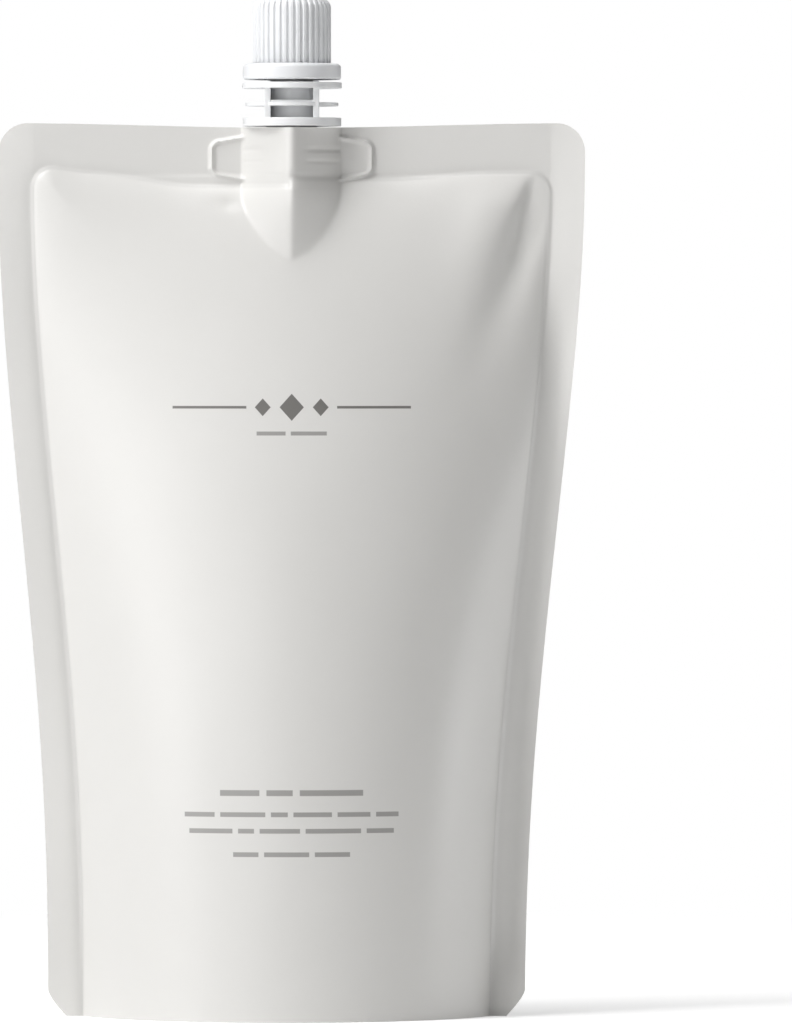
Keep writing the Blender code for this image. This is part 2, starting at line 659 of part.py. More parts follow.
def make_cap(material):
    """Screw cap: a ribbed barrel, bored from below, with its own thread."""
    rib = ((-RIB_CREST / 2, 1.0), (RIB_CREST / 2, 1.0), (RIB_FOOT / 2, 0.0), (1 - RIB_FOOT / 2, 0.0))
    shape = bmesh.new()
    rings = []
    for height, drawn_in, depth_share in cap_levels():
        ring = []
        for k in range(RIB_COUNT):
            for turn, rise in rib:
                angle = math.tau * (k + turn) / RIB_COUNT
                radius = CAP_RADIUS - RIB_DEPTH * (1 - rise * depth_share) - drawn_in
                ring.append(shape.verts.new((radius * math.cos(angle), radius * math.sin(angle), height)))
        rings.append(ring)
    skin_between(shape, rings, capped=True)
    cap = object_from("screw_cap", shape, material)
    combine(cap, [disc("cap bore", CAP_BORE_RADIUS, CAP_BOTTOM - CUTTER_MARGIN, CAP_CEILING)], "DIFFERENCE")
    cap_thread = thread_ridge(
        "cap thread",
        NECK_THREAD_START + THREAD_PITCH / 2,
        CAP_THREAD_TURNS,
        CAP_BORE_RADIUS + OVERLAP,
        CAP_BORE_RADIUS + OVERLAP / 3,
        NECK_RADIUS + THREAD_GAP,
    )
    combine(cap, [cap_thread], "UNION")
    return cap


def make_liner(material):
    """Soft disc between the spout's rim and the cap's ceiling."""
    return disc("cap_liner", LINER_RADIUS, LINER_BOTTOM, LINER_TOP, material, LINER_SEGMENTS)


def main():
    clear_scene()
    film = plain_material("matt grey film", (0.66, 0.65, 0.62), 0.42)
    white = plain_material("white moulded plastic", (0.86, 0.87, 0.88), 0.35)
    foam = plain_material("white foam liner", (0.80, 0.80, 0.78), 0.80)
    make_film_pack(film)
    make_spout(white)
    make_tamper_band(white)
    make_cap(white)
    make_liner(foam)


main()
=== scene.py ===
"""Looks of the hand soap refill pack: the film bag, its spout, tamper band, screw cap and liner."""

import math

import bmesh
import bpy
import numpy as np
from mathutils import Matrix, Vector


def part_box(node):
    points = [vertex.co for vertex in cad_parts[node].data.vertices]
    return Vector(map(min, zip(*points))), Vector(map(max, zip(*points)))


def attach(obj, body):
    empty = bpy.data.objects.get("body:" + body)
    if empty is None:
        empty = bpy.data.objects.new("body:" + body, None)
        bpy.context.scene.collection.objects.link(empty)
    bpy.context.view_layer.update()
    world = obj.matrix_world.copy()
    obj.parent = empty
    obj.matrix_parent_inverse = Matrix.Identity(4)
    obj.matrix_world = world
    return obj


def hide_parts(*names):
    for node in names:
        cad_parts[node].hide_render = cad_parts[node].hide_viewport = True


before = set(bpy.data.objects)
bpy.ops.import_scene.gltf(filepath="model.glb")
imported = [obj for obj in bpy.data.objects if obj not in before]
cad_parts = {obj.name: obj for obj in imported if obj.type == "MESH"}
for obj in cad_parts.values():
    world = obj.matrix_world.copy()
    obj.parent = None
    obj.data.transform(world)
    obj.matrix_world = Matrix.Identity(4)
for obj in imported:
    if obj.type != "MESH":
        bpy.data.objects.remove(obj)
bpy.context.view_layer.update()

MM = 0.001
PACK_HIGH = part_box("film_pack")[1]
CAP_LOW, CAP_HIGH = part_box("screw_cap")
BAND_LOW, BAND_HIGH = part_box("tamper_band")
SPOUT_LOW, SPOUT_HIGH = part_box("pour_spout")

# Film bag
PACK_HEIGHT = PACK_HIGH.z
PACK_WIDTH = 126.0 * MM
BASE_DEPTH = 57.6 * MM
FILL_CURVE = 2.3
SIDE_SEAL = 7.5 * MM
TOP_SEAL = 10.7 * MM
HALF_SEAL = 0.25 * MM
TOP_CORNER = 6.2 * MM
BOTTOM_CORNER_WIDTH = 4.0 * MM
BOTTOM_CORNER_HEIGHT = 5.6 * MM
BOTTOM_CORNER_CURVE = 1.35
TOP_EDGE_DIP = 1.0 * MM
BASE_LEAN = -1.2 * MM
TOP_OF_FILL = PACK_HEIGHT - TOP_SEAL
HALF_FILM = PACK_WIDTH / 2 - SIDE_SEAL
PANEL_ANGLES = (1e-4, 2.3)
PANEL_ANGLE_STEPS = 50
BULGE_START = 0.3 * MM
LEAST_BULGE = 0.12
FILM_RIPPLE = 0.16 * MM
FILM_RIPPLE_LENGTHS = (46 * MM, 70 * MM)
FILM_RIPPLE_FOOT = (4 * MM, 40 * MM)
FILM_RIPPLE_DEPTHS = (0.5 * MM, 8 * MM)
FOLD_ROUND = 0.5 * MM

# Lower edge of the top seal
TOP_SAG_LEFT = 3.0 * MM
TOP_SAG_RIGHT = 1.6 * MM
TOP_SAG_REACH = (20 * MM, 44 * MM)
TOP_LIFT = 1.2 * MM
TOP_LIFT_REACH = (42 * MM, 54 * MM)

# Pillow edge just inside the seals
RIM_RISE = 2.0 * MM
RIM_REACH = 4.2 * MM
RIM_FADE = 18.0 * MM
RIM_FOOT = (5 * MM, 60 * MM)
RIM_CORNER = 4.5 * MM

# Painted shade: a darker line in the film's colour along the inner edge of the seals, where the film creases
SEAL_LINE_OUTSIDE = 1.7 * MM
SEAL_LINE_INSIDE = 0.3 * MM
SEAL_LINE_SHADE = 0.16
SEAL_LINE_FADE = 0.6
SEAL_LINE_FADE_HEIGHTS = (135 * MM, 170 * MM)

# How the flat side seals dip, wave, bend and turn. The right one turns most and is the only one that bends
SEAL_RECESS = 0.35 * MM
SEAL_RECESS_REACH = 1.9 * MM
SEAL_RECESS_EDGE = 0.4 * MM
SEAL_RIPPLE = 0.55 * MM
SEAL_RIPPLE_LENGTHS = (3.0, 80 * MM)
SEAL_FOOT = (2 * MM, 20 * MM)
SEAL_BEND = 1.4 * MM
SEAL_BEND_FADE = (134 * MM, 164 * MM)
SEAL_TURN = 2.6 * MM
SEAL_TURN_FADE = (112 * MM, 160 * MM)
SEAL_TURN_CURVE = 1.3
SEAL_TURN_LEFT = 0.35 * MM
SEAL_TURN_BACK = 1.2 * MM
SEAL_TURN_BACK_RISE = (130 * MM, 174 * MM)

# Crease that runs down from the right top corner
CREASE_TOP = (54.0 * MM, 179.4 * MM)
CREASE_RUN = (-0.33, -0.944)
CREASE_LENGTH = 76.0 * MM
CREASE_DEPTH = 2.5 * MM
CREASE_LOW_DEPTH = 0.9 * MM
CREASE_DEPTH_FADE = (0.05, 0.5)
CREASE_START = (-3.5 * MM, 2.5 * MM)
CREASE_FADE = (0.3, 0.75)
CREASE_WIDTHS_TO_MIDDLE = (2.3 * MM, 6.8 * MM)
CREASE_WIDTHS_TO_SEAL = (2.2 * MM, 9.2 * MM)
REAR_CREASE = 0.7

# Pillow above that crease, and a small dent left of the spout
PILLOW_RISE = 0.9 * MM
PILLOW_PLACE = (42.0 * MM, 170.5 * MM)
PILLOW_SIZE = (13 * MM, 6 * MM)
PILLOW_EDGE = 8 * MM
DENT_DEPTH = 0.35 * MM
DENT_PLACE = (-13.5 * MM, 174.5 * MM)
DENT_SIZE = (2.6 * MM, 1.5 * MM)

# Film drawn round the spout, with the height and depth of each weld groove
WRAP_RADIUS = 10.6 * MM
WRAP_SHOULDER = 177.6 * MM
WRAP_ROUNDNESS = 0.2
WRAP_RIDGE = 0.09
WRAP_ROUNDNESS_FADE = (0.0, 0.5)
LEAST_HALF_WIDTH = 0.05 * MM
KEEL_END = 162.6 * MM
KEEL_END_DEPTH = 6.5 * MM
KEEL_CURVE = 0.8
WELD_GROOVES = ((186.7 * MM, 0.42 * MM), (183.9 * MM, 0.16 * MM))
WELD_LOW_STEP = 0.15 * MM
WELD_GROOVE_WIDTH = 0.45 * MM
WELD_LOW_EDGE = 180.3 * MM
WELD_MARKS_RIGHT = (2.5 * MM, 5.0 * MM)
WELD_MARKS_LEFT = (5.5 * MM, 7.5 * MM)
WELD_MARKS_LEFT_SHARE = 0.6
SOCKET_SHARE = 0.95
SOCKET_BOTTOM = 179.6 * MM

# Weld outline beside the spout
EAR_HALF_LENGTH = 17.75 * MM
EAR_MIDDLE = 184.75 * MM
EAR_HALF_HEIGHT = 4.0 * MM
EAR_SPREAD = 0.21
EAR_CORNER = 2.0 * MM
EAR_THICKNESS = 0.4 * MM
EAR_BEAD = 0.62 * MM
EAR_BEAD_WIDTH = 0.42 * MM
EAR_BEAD_INSET = 0.62 * MM
EAR_EDGE = (-0.1 * MM, 0.6 * MM)
EAR_PANEL_FADE = (0.2 * MM, 1.5 * MM)
EAR_WRAP_FADE = (-0.2 * MM, 1.5 * MM)

# Folded gusset below
SKIRT_THICKNESS = 0.8 * MM
SKIRT_HEIGHT = 4.5 * MM
SKIRT_CURVE = 4
GUSSET_HEIGHT = 21.0 * MM
GUSSET_SAG = 1.5 * MM
FOLD_CURVE = 5
GUSSET_END_DEPTH = 0.75 * MM
SKIRT_STEPS = 6
GUSSET_STEPS = 41
CRUMPLE = 0.25 * MM
CRUMPLE_LENGTHS = (30 * MM, 18 * MM)
FLOOR_ROUND = 1.2 * MM

# Grid of the film, with the heights where the spacing of its rows changes and the rows between them
WRAP_COLUMNS = 56
EAR_COLUMNS = 30
PANEL_COLUMNS = 46
SEAL_COLUMNS = 12
WRAP_SHARE = 0.27
EAR_SHARE = 0.43
WRAP_FREED = (2 * MM, 40 * MM)
PANEL_CROWDING = 1.3
SEAL_CROWDING = 1.5
ROW_HEIGHTS = (0.0, BOTTOM_CORNER_HEIGHT, 150 * MM, 177 * MM, PACK_HEIGHT - TOP_CORNER)
ROW_COUNTS = (8, 61, 49, 33)
CORNER_ROWS = 24
MERGE_REACH = 0.002 * MM

# Spout, with the radius, foot and top of each flange
BORE_RADIUS = 4.3 * MM
TUBE_RADIUS = 5.4 * MM
NECK_RADIUS = 5.6 * MM
BOAT_RADIUS = 9.8 * MM
BOAT_INSIDE = 8.6 * MM
BOAT_LOW = 179.9 * MM
BOAT_HIGH = 190.7 * MM
BOAT_ROOF = 1.6 * MM
BOAT_FIT = 0.96
WELD_RIBS = 4
WELD_RIB_DEPTH = 0.35 * MM
PACK_FLANGE = (10.6 * MM, 191.3 * MM, 193.1 * MM)
RAIL_FLANGE = (10.0 * MM, 195.6 * MM, 196.35 * MM)
TOP_FLANGE = (10.7 * MM, 199.4 * MM, 200.7 * MM)
BEAD_RADIUS = 8.4 * MM
BEAD_LOW = 202.3 * MM
BEAD_HIGH = 203.0 * MM
BEAD_SLOPE = 0.5 * MM
PLATE_NEAR = 4.55 * MM
PLATE_FAR = 5.85 * MM
PLATE_HALF_LENGTH = 8.6 * MM
PLATE_FOOT = PACK_FLANGE[2] - 0.4 * MM
PLATE_TOP = 201.0 * MM
RAIL_BAR_DEPTH = 1.2 * MM
RAIL_BAR_INSET = 0.1 * MM
RAIL_BAR_FOOT = RAIL_FLANGE[1] + 0.3 * MM
RAIL_BAR_TOP = 196.85 * MM

# Screw thread
THREAD_PITCH = 3.0 * MM
THREAD_ROOT = 1.3 * MM
THREAD_CREST = 0.6 * MM
NECK_THREAD_START = 206.7 * MM
NECK_THREAD_RADIUS = 6.4 * MM
NECK_THREAD_TURNS = 1.75
CAP_THREAD_START = 208.2 * MM
CAP_THREAD_RADIUS = 5.9 * MM
CAP_THREAD_TURNS = 1.0
THREAD_FADE = 0.1
THREAD_END_SHARE = 0.12
THREAD_FLANK = 0.8
THREAD_ROUND = 0.05 * MM
THREAD_SINK = 0.2 * MM

# Tamper band
BAND_RADIUS = 10.55 * MM
BAND_RECESS = 8.7 * MM
BAND_INNER = 8.9 * MM
BAND_HOLE = 7.0 * MM
BAND_LIP = 7.95 * MM
BAND_LIP_TOP = 202.0 * MM
BAND_PLATE_LOW = 203.3 * MM
BAND_PLATE_HIGH = 204.1 * MM
BAND_LIP_SLOPE = 0.1 * MM
BAND_EDGE = 0.3 * MM
BAND_FLAT = 0.5 * MM
BAND_SHOULDER = 0.9 * MM
BAND_ROUND = 0.1 * MM

# Cap
CAP_RADIUS = 8.4 * MM
CAP_BORE = 6.7 * MM
CAP_CEILING = 217.2 * MM
CAP_TOP_ROUND = 2.2 * MM
CAP_MIDDLE = 0.4 * MM
CAP_BORE_ROUND = 0.3 * MM
CAP_LEAD_IN = 0.2 * MM
CAP_LEAD_IN_HEIGHT = 0.25 * MM
CAP_FOOT_ROUND = 0.1 * MM
CAP_FOOT_HEIGHTS = (0.02 * MM, 0.15 * MM)
CAP_BARREL_RING = 6 * MM
CAP_BARREL_END = 1 * MM
CAP_CROWN_RING = 4.5 * MM
GATE_RADIUS = 1.3 * MM
GATE_FLOOR_RADIUS = 1.0 * MM
GATE_DEPTH = 0.12 * MM
RIB_COUNT = 36
RIB_DEPTH = 0.45 * MM
RIB_STEPS = 16
RIB_SIDE = (0.19, 0.37)
RIB_CROWN_FADE = (0.25, 0.8)

# Edges of all the pieces
EDGE_ROUND = 0.14 * MM
SHARP_ANGLE = math.radians(40)
CAP_SHARP_ANGLE = math.radians(50)
FILM_SHARP_ANGLE = math.radians(78)

# Finishes
FILM_COLOUR = (0.715, 0.706, 0.685)
FILM_ROUGHNESS = 0.37
FILM_SHEEN = 0.8
PRINT_COLOUR = (0.075, 0.069, 0.062)
PRINT_EDGE = 0.05 * MM
PRINT_FRONT = (-3 * MM, -2 * MM)
WHITE_PLASTIC = (0.835, 0.845, 0.86)
MILKY_PLASTIC = (0.87, 0.877, 0.885)
SOFT_RADIUS = (1.0, 0.97, 0.94)
SOFT_SCALE = 1.2 * MM
FOAM_COLOUR = (0.8, 0.8, 0.78)


# Numbers that change smoothly


def smooth(value, low, high):
    """0 below low, 1 above high and a soft change between."""
    share = np.clip((value - low) / (high - low), 0.0, 1.0)
    return share * share * (3 - 2 * share)


def soft_max(a, b, reach):
    """The larger of two, rounded over where they differ by less than reach."""
    near = np.maximum(reach - np.abs(a - b), 0.0) / reach
    return np.maximum(a, b) + near * near * reach / 4


def dimple(x, z, place, size, turn=0.0):
    """A soft spot of height 1, longer one way than the other."""
    length, width = size
    c, s = math.cos(turn), math.sin(turn)
    along = (x - place[0]) * c + (z - place[1]) * s
    across = (z - place[1]) * c - (x - place[0]) * s
    return np.exp(-((along / length) ** 2) - (across / width) ** 2)


def ripple(x, z, lengths, seed):
    """A gentle uneven wave from -1 to 1, the same on every run."""
    length_x, length_z = lengths
    picker = np.random.default_rng(seed)
    total = 0.0
    for _ in range(5):
        phase = picker.uniform(0, math.tau)
        turn_x = picker.uniform(0.6, 1.5) * picker.choice([-1, 1]) * math.tau / length_x
        turn_z = picker.uniform(0.6, 1.5) * math.tau / length_z
        total = total + np.sin(x * turn_x + z * turn_z + phase) / 5
    return total


# Shape of the film


def half_depth(z):
    """Half of the bag's depth at its middle."""
    share = np.clip(z / TOP_OF_FILL, 0.0, 1.0)
    return BASE_DEPTH / 2 * (1 - share**FILL_CURVE)


def panel_arc(depth):
    """Half angle and radius of the arc that a panel of fixed width takes when it stands out by depth."""
    low = np.full(depth.shape, PANEL_ANGLES[0])
    high = np.full(depth.shape, PANEL_ANGLES[1])
    for _ in range(PANEL_ANGLE_STEPS):
        middle = (low + high) / 2
        too_deep = HALF_FILM * (1 - np.cos(middle)) > depth * middle
        high = np.where(too_deep, middle, high)
        low = np.where(too_deep, low, middle)
    return low, HALF_FILM / low


def lean(z):
    """How far the bag stands to the side of the spout's axis."""
    return BASE_LEAN * (1 - z / PACK_HEIGHT)


def side_cut(z):
    """How far the rounded top corners and the cut bottom corners take the side edge in."""
    low = max(0.0, 1 - z / BOTTOM_CORNER_HEIGHT)
    above = min(TOP_CORNER, max(0.0, z - (PACK_HEIGHT - TOP_CORNER)))
    round_top = TOP_CORNER - math.sqrt(TOP_CORNER**2 - above**2)
    return BOTTOM_CORNER_WIDTH * low**BOTTOM_CORNER_CURVE + round_top


def roof(share, roundness, ridge):
    """Cross-section from 1 in the middle to 0 at share 1: a half circle mixed with a rounded roof."""
    share = np.clip(share, 0.0, 1.0)
    peak = math.sqrt(1 + ridge**2) - ridge
    pitched = (math.sqrt(1 + ridge**2) - np.sqrt(share**2 + ridge**2)) / peak
    return roundness * np.sqrt(1 - share**2) + (1 - roundness) * pitched


def wrap_depth(x, z):
    """How far the film drawn over the spout stands out from the panel, and below 0 away from the spout."""
    run = np.clip((WRAP_SHOULDER - z) / (WRAP_SHOULDER - KEEL_END), 0.0, 1.0)
    ridge_depth = WRAP_RADIUS + (KEEL_END_DEPTH - WRAP_RADIUS) * run
    height = np.maximum(ridge_depth - half_depth(z), 0.0)
    half_width = WRAP_RADIUS * (1 - run**2) ** KEEL_CURVE
    share = np.abs(x) / np.maximum(half_width, LEAST_HALF_WIDTH)
    shown = height * roof(share, WRAP_ROUNDNESS * (1 - smooth(run, *WRAP_ROUNDNESS_FADE)), WRAP_RIDGE)
    marked = smooth(x, *WELD_MARKS_RIGHT) + WELD_MARKS_LEFT_SHARE * smooth(-x, *WELD_MARKS_LEFT)
    for groove, depth in WELD_GROOVES:
        shown = shown - depth * marked * np.exp(-(((z - groove) / WELD_GROOVE_WIDTH) ** 2))
    shown = shown + WELD_LOW_STEP * (smooth(z, WELD_LOW_EDGE, WELD_LOW_EDGE + 2 * WELD_GROOVE_WIDTH) - 1)
    away = half_width - np.abs(x) + np.minimum(z - KEEL_END, 0.0)
    return np.where((share < 1) & (z > KEEL_END), shown, np.minimum(away, 0.0))


def ear_depth(x, z):
    """Raised weld area with a bead round it, taller beside the spout."""
    half_height = EAR_HALF_HEIGHT + EAR_SPREAD * np.maximum(EAR_HALF_LENGTH - np.abs(x), 0.0)
    half_height = np.minimum(half_height, EAR_HALF_HEIGHT + EAR_SPREAD * (EAR_HALF_LENGTH - WRAP_RADIUS))
    from_x = np.abs(x) - (EAR_HALF_LENGTH - EAR_CORNER)
    from_z = np.abs(z - EAR_MIDDLE) - (half_height - EAR_CORNER)
    outside = np.hypot(np.maximum(from_x, 0), np.maximum(from_z, 0))
    inside = EAR_CORNER - outside - np.minimum(np.maximum(from_x, from_z), 0)
    plateau = EAR_THICKNESS * smooth(inside, *EAR_EDGE)
    return plateau + EAR_BEAD * np.exp(-(((inside - EAR_BEAD_INSET) / EAR_BEAD_WIDTH) ** 2))


def top_line(x):
    """Height of the top seal's lower edge. It sags towards the spout, and more so on the left."""
    sag = np.where(x < 0, TOP_SAG_LEFT, TOP_SAG_RIGHT) * (1 - smooth(np.abs(x), *TOP_SAG_REACH))
    return TOP_OF_FILL - sag + TOP_LIFT * smooth(-x, *TOP_LIFT_REACH)


def inside_rim(x, z):
    """Distance in from the seals, with rounded corners. It is negative on the seals."""
    angle, radius = panel_arc(half_depth(z))
    from_side = radius * np.sin(angle) - np.abs(x)
    from_top = top_line(x) - z
    rounded_off = RIM_CORNER - np.hypot(
        np.maximum(RIM_CORNER - from_side, 0), np.maximum(RIM_CORNER - from_top, 0)
    )
    in_corner = (from_side < RIM_CORNER) & (from_top < RIM_CORNER)
    return np.where(in_corner, rounded_off, np.minimum(from_side, from_top))


def rim_depth(x, z):
    """Quick rise of the film just inside the seals, strongest near the top."""
    rise = RIM_RISE * np.exp(-half_depth(z) / RIM_FADE) * smooth(z, *RIM_FOOT)
    return rise * (1 - np.exp(-np.maximum(inside_rim(x, z), 0.0) / RIM_REACH))


def corner_crease(x, z):
    """Depth of the crease below the right top corner, steep towards the middle."""
    from_x, from_z = x - CREASE_TOP[0], z - CREASE_TOP[1]
    along = from_x * CREASE_RUN[0] + from_z * CREASE_RUN[1]
    across = from_x * CREASE_RUN[1] - from_z * CREASE_RUN[0]
    travel = np.clip(along / CREASE_LENGTH, 0.0, 1.0)
    towards_middle = np.interp(travel, (0, 1), CREASE_WIDTHS_TO_MIDDLE)
    towards_seal = np.interp(travel, (0, 1), CREASE_WIDTHS_TO_SEAL)
    width = np.where(across > 0, towards_middle, towards_seal)
    depth = CREASE_DEPTH + (CREASE_LOW_DEPTH - CREASE_DEPTH) * smooth(travel, *CREASE_DEPTH_FADE)
    ends = smooth(along, *CREASE_START) * (1 - smooth(travel, *CREASE_FADE))
    return depth * ends * np.exp(-((across / width) ** 2))


def panel_depth(x, z, side):
    """How far a filled panel stands out. Side is -1 for the front and 1 for the rear."""
    angle, radius = panel_arc(half_depth(z))
    inside = np.maximum(radius**2 - x**2, 0.0)
    bulge = np.maximum(np.sqrt(inside) - radius * np.cos(angle), 0.0) + rim_depth(x, z)
    turn = math.atan2(CREASE_RUN[1], CREASE_RUN[0])
    pillow = PILLOW_RISE * dimple(-side * x, z, PILLOW_PLACE, PILLOW_SIZE, turn)
    dent = DENT_DEPTH * dimple(x, z, DENT_PLACE, DENT_SIZE) * (side < 0)
    crease = corner_crease(-side * x, z) * (1.0 if side < 0 else REAR_CREASE)
    shown = bulge + pillow * smooth(inside_rim(x, z), 0.0, PILLOW_EDGE) - crease - dent
    return soft_max(shown, LEAST_BULGE * bulge, FOLD_ROUND) * smooth(bulge, 0.0, BULGE_START)


def seal_wave(x, z):
    """Sideways wave of the flat seals, front and rear together."""
    angle, radius = panel_arc(half_depth(z))
    out = np.clip((np.abs(x) - radius * np.sin(angle)) / SIDE_SEAL, 0.0, 1.0)
    wave = SEAL_RIPPLE * ripple(np.sign(x), z, SEAL_RIPPLE_LENGTHS, seed=11)
    turn_ahead = SEAL_TURN * (1 - smooth(z, *SEAL_TURN_FADE))
    turn_back = SEAL_TURN_BACK * smooth(z, *SEAL_TURN_BACK_RISE)
    turn = np.where(x > 0, turn_ahead - turn_back, SEAL_TURN_LEFT)
    bend = SEAL_BEND * np.sin(math.pi * out) * (x > 0) * (1 - smooth(z, *SEAL_BEND_FADE))
    free = smooth(z, *SEAL_FOOT)
    past = np.maximum(-inside_rim(x, z), 0.0)
    recess = SEAL_RECESS * (np.exp(-past / SEAL_RECESS_REACH) - np.exp(-((past / SEAL_RECESS_EDGE) ** 2)))
    return free * (out * wave + out**SEAL_TURN_CURVE * turn + bend + recess * (past > 0))


def film_depth(x, z, side):
    """Depth of the front or rear film from the pack's middle plane."""
    depth = panel_depth(x, z, side)
    loose = smooth(depth, *FILM_RIPPLE_DEPTHS) * smooth(z, *FILM_RIPPLE_FOOT)
    depth = depth + loose * FILM_RIPPLE * ripple(x, z, FILM_RIPPLE_LENGTHS, seed=5 if side < 0 else 6)
    wrap = wrap_depth(x, z)
    beside = (1 - smooth(depth, *EAR_PANEL_FADE)) * (1 - smooth(wrap, *EAR_WRAP_FADE))
    return depth + ear_depth(x, z) * beside + soft_max(wrap, 0.0, FOLD_ROUND)


def column_shares():
    """Columns from the left seal to the right one, crowded over the drawn film and the weld outline."""
    half = np.concatenate(
        [
            np.linspace(0.0, WRAP_SHARE, WRAP_COLUMNS // 2 + 1),
            np.linspace(WRAP_SHARE, EAR_SHARE, EAR_COLUMNS + 1)[1:],
            1 - (1 - EAR_SHARE) * np.linspace(1.0, 0.0, PANEL_COLUMNS + 1)[1:] ** PANEL_CROWDING,
        ]
    )
    return np.concatenate([-half[:0:-1], half])


def column_places(z, shares):
    """x of each column at a height, with a share's edge on the edge of the drawn film."""
    angle, radius = panel_arc(half_depth(z))
    plain = radius * np.sin(angle * shares)
    edge = radius * np.sin(angle * WRAP_SHARE)
    end = radius * np.sin(angle)
    freed = smooth(WRAP_SHOULDER - z, *WRAP_FREED)
    wrap_edge = WRAP_RADIUS * (1 - freed) + edge * freed
    u = np.clip(shares / WRAP_SHARE, -1.0, 1.0)
    within = wrap_edge * (0.5 * np.sin(u * math.pi / 2) + 0.5 * u)
    outer = np.sign(shares) * (wrap_edge + (end - wrap_edge) * (np.abs(plain) - edge) / (end - edge))
    return np.where(np.abs(shares) <= WRAP_SHARE, within, outer)


def row_places():
    """Heights of the rows, close together where the film has detail."""
    rows = []
    for low, high, count in zip(ROW_HEIGHTS, ROW_HEIGHTS[1:], ROW_COUNTS):
        rows.append(np.linspace(low, high, count, endpoint=False))
    corner = TOP_CORNER * np.sin(np.linspace(0.0, math.pi / 2, CORNER_ROWS))
    return np.concatenate([*rows, PACK_HEIGHT - TOP_CORNER + corner])


def film_sheet(side):
    """Grid of points on the front or rear film, from the left edge to the right one."""
    shares = column_shares()
    rows = []
    for z in row_places():
        x = column_places(np.full(shares.shape, z), shares)
        out = x[-1] + (SIDE_SEAL - side_cut(z)) * np.linspace(0, 1, SEAL_COLUMNS + 1)[1:] ** SEAL_CROWDING
        x = np.concatenate([-out[::-1], x, out])
        heights = np.full(x.shape, z)
        in_top_seal = np.clip((heights - TOP_OF_FILL) / TOP_SEAL, 0, 1)
        dip = TOP_EDGE_DIP * in_top_seal * np.cos(math.pi * x / PACK_WIDTH) ** 2
        y = side * (HALF_SEAL + film_depth(x, heights, side)) + seal_wave(x, heights)
        rows.append(np.stack([x + lean(z), y, heights - dip], axis=1))
    return np.array(rows)


def gusset_sheets(front_foot, rear_foot):
    """Grids under the bag: the skirt's lower edge, its inner wall and the folded film between them."""
    columns = [i for i in range(len(front_foot)) if rear_foot[i][1] - HALF_SEAL > GUSSET_END_DEPTH]
    first, last = columns[0], columns[-1]
    middle = (front_foot[first][0] + front_foot[last][0]) / 2
    reach = (front_foot[last][0] - front_foot[first][0]) / 2
    lines = []
    for i in columns:
        x = front_foot[i][0]
        run = abs(x - middle) / reach
        front_in = front_foot[i][1] + SKIRT_THICKNESS
        rear_in = rear_foot[i][1] - SKIRT_THICKNESS
        skirt = SKIRT_HEIGHT + (GUSSET_HEIGHT - SKIRT_HEIGHT) * run**SKIRT_CURVE
        fold = -GUSSET_SAG + (GUSSET_HEIGHT + GUSSET_SAG) * run**FOLD_CURVE
        line = [front_foot[i]]
        line += [(x, front_in, skirt * k / SKIRT_STEPS) for k in range(SKIRT_STEPS)]
        for across in np.linspace(-1, 1, GUSSET_STEPS):
            y = front_in + (rear_in - front_in) * (across + 1) / 2
            crumple = CRUMPLE * ripple(x, y, CRUMPLE_LENGTHS, seed=21) * (1 - across**2)
            height = fold + (skirt - fold) * across**2 + crumple
            resting = float(soft_max(height, 0.0, FLOOR_ROUND)) if height > -FLOOR_ROUND else 0.0
            line.append((x, y, resting))
        line += [(x, rear_in, skirt * k / SKIRT_STEPS) for k in reversed(range(SKIRT_STEPS))]
        line.append(rear_foot[i])
        lines.append(line)
    lines[0] = pinched(lines[0])
    lines[-1] = pinched(lines[-1])
    outer = []
    for part in (range(first + 1), range(last, len(front_foot))):
        outer.append([[front_foot[i] for i in part], [rear_foot[i] for i in part]])
    return [lines, *outer]


def pinched(line):
    """The last line of the gusset at a side seal, flattened between the two feet."""
    start, end = np.array(line[0]), np.array(line[-1])
    shares = np.linspace(0, 1, len(line))
    return [tuple(start + (end - start) * share) for share in shares]


def top_sheets(front_top, rear_top):
    """Grids over the top edge: flat across the seal, and a socket for the spout in the drawn film."""
    count = len(front_top)
    first = SEAL_COLUMNS + PANEL_COLUMNS + EAR_COLUMNS
    last = count - 1 - first
    grids = [
        [[top[i] for i in range(first + 1)] for top in (front_top, rear_top)],
        [[top[i] for i in range(last, count)] for top in (front_top, rear_top)],
    ]
    halves = []
    for top in (front_top, rear_top):
        rim = [top[i] for i in range(first, last + 1)]
        rings = [rim]
        for share, height in ((SOCKET_SHARE, None), (SOCKET_SHARE, SOCKET_BOTTOM), (0.0, SOCKET_BOTTOM)):
            rings.append([(x * share, y * share, z if height is None else height) for x, y, z in rim])
        halves.append(rings)
    ends = [[[ring[edge] for ring in rings] for rings in halves] for edge in (0, -1)]
    return grids + halves + ends


# Ways to make a mesh


def object_from(name, shape, material, sharp=SHARP_ANGLE):
    """A named object from a bmesh, smooth but for its sharp edges."""
    bmesh.ops.recalc_face_normals(shape, faces=shape.faces)
    mesh = bpy.data.meshes.new(name)
    shape.to_mesh(mesh)
    shape.free()
    mesh.materials.append(material)
    mesh.shade_smooth()
    mesh.set_sharp_from_angle(angle=sharp)
    made = bpy.data.objects.new(name, mesh)
    bpy.context.scene.collection.objects.link(made)
    return made


def add_grid(shape, grid):
    """Adds four-sided faces between the points of a grid."""
    made = [[shape.verts.new(point) for point in row] for row in grid]
    for lower, upper in zip(made, made[1:]):
        for i in range(len(lower) - 1):
            shape.faces.new((lower[i], lower[i + 1], upper[i + 1], upper[i]))


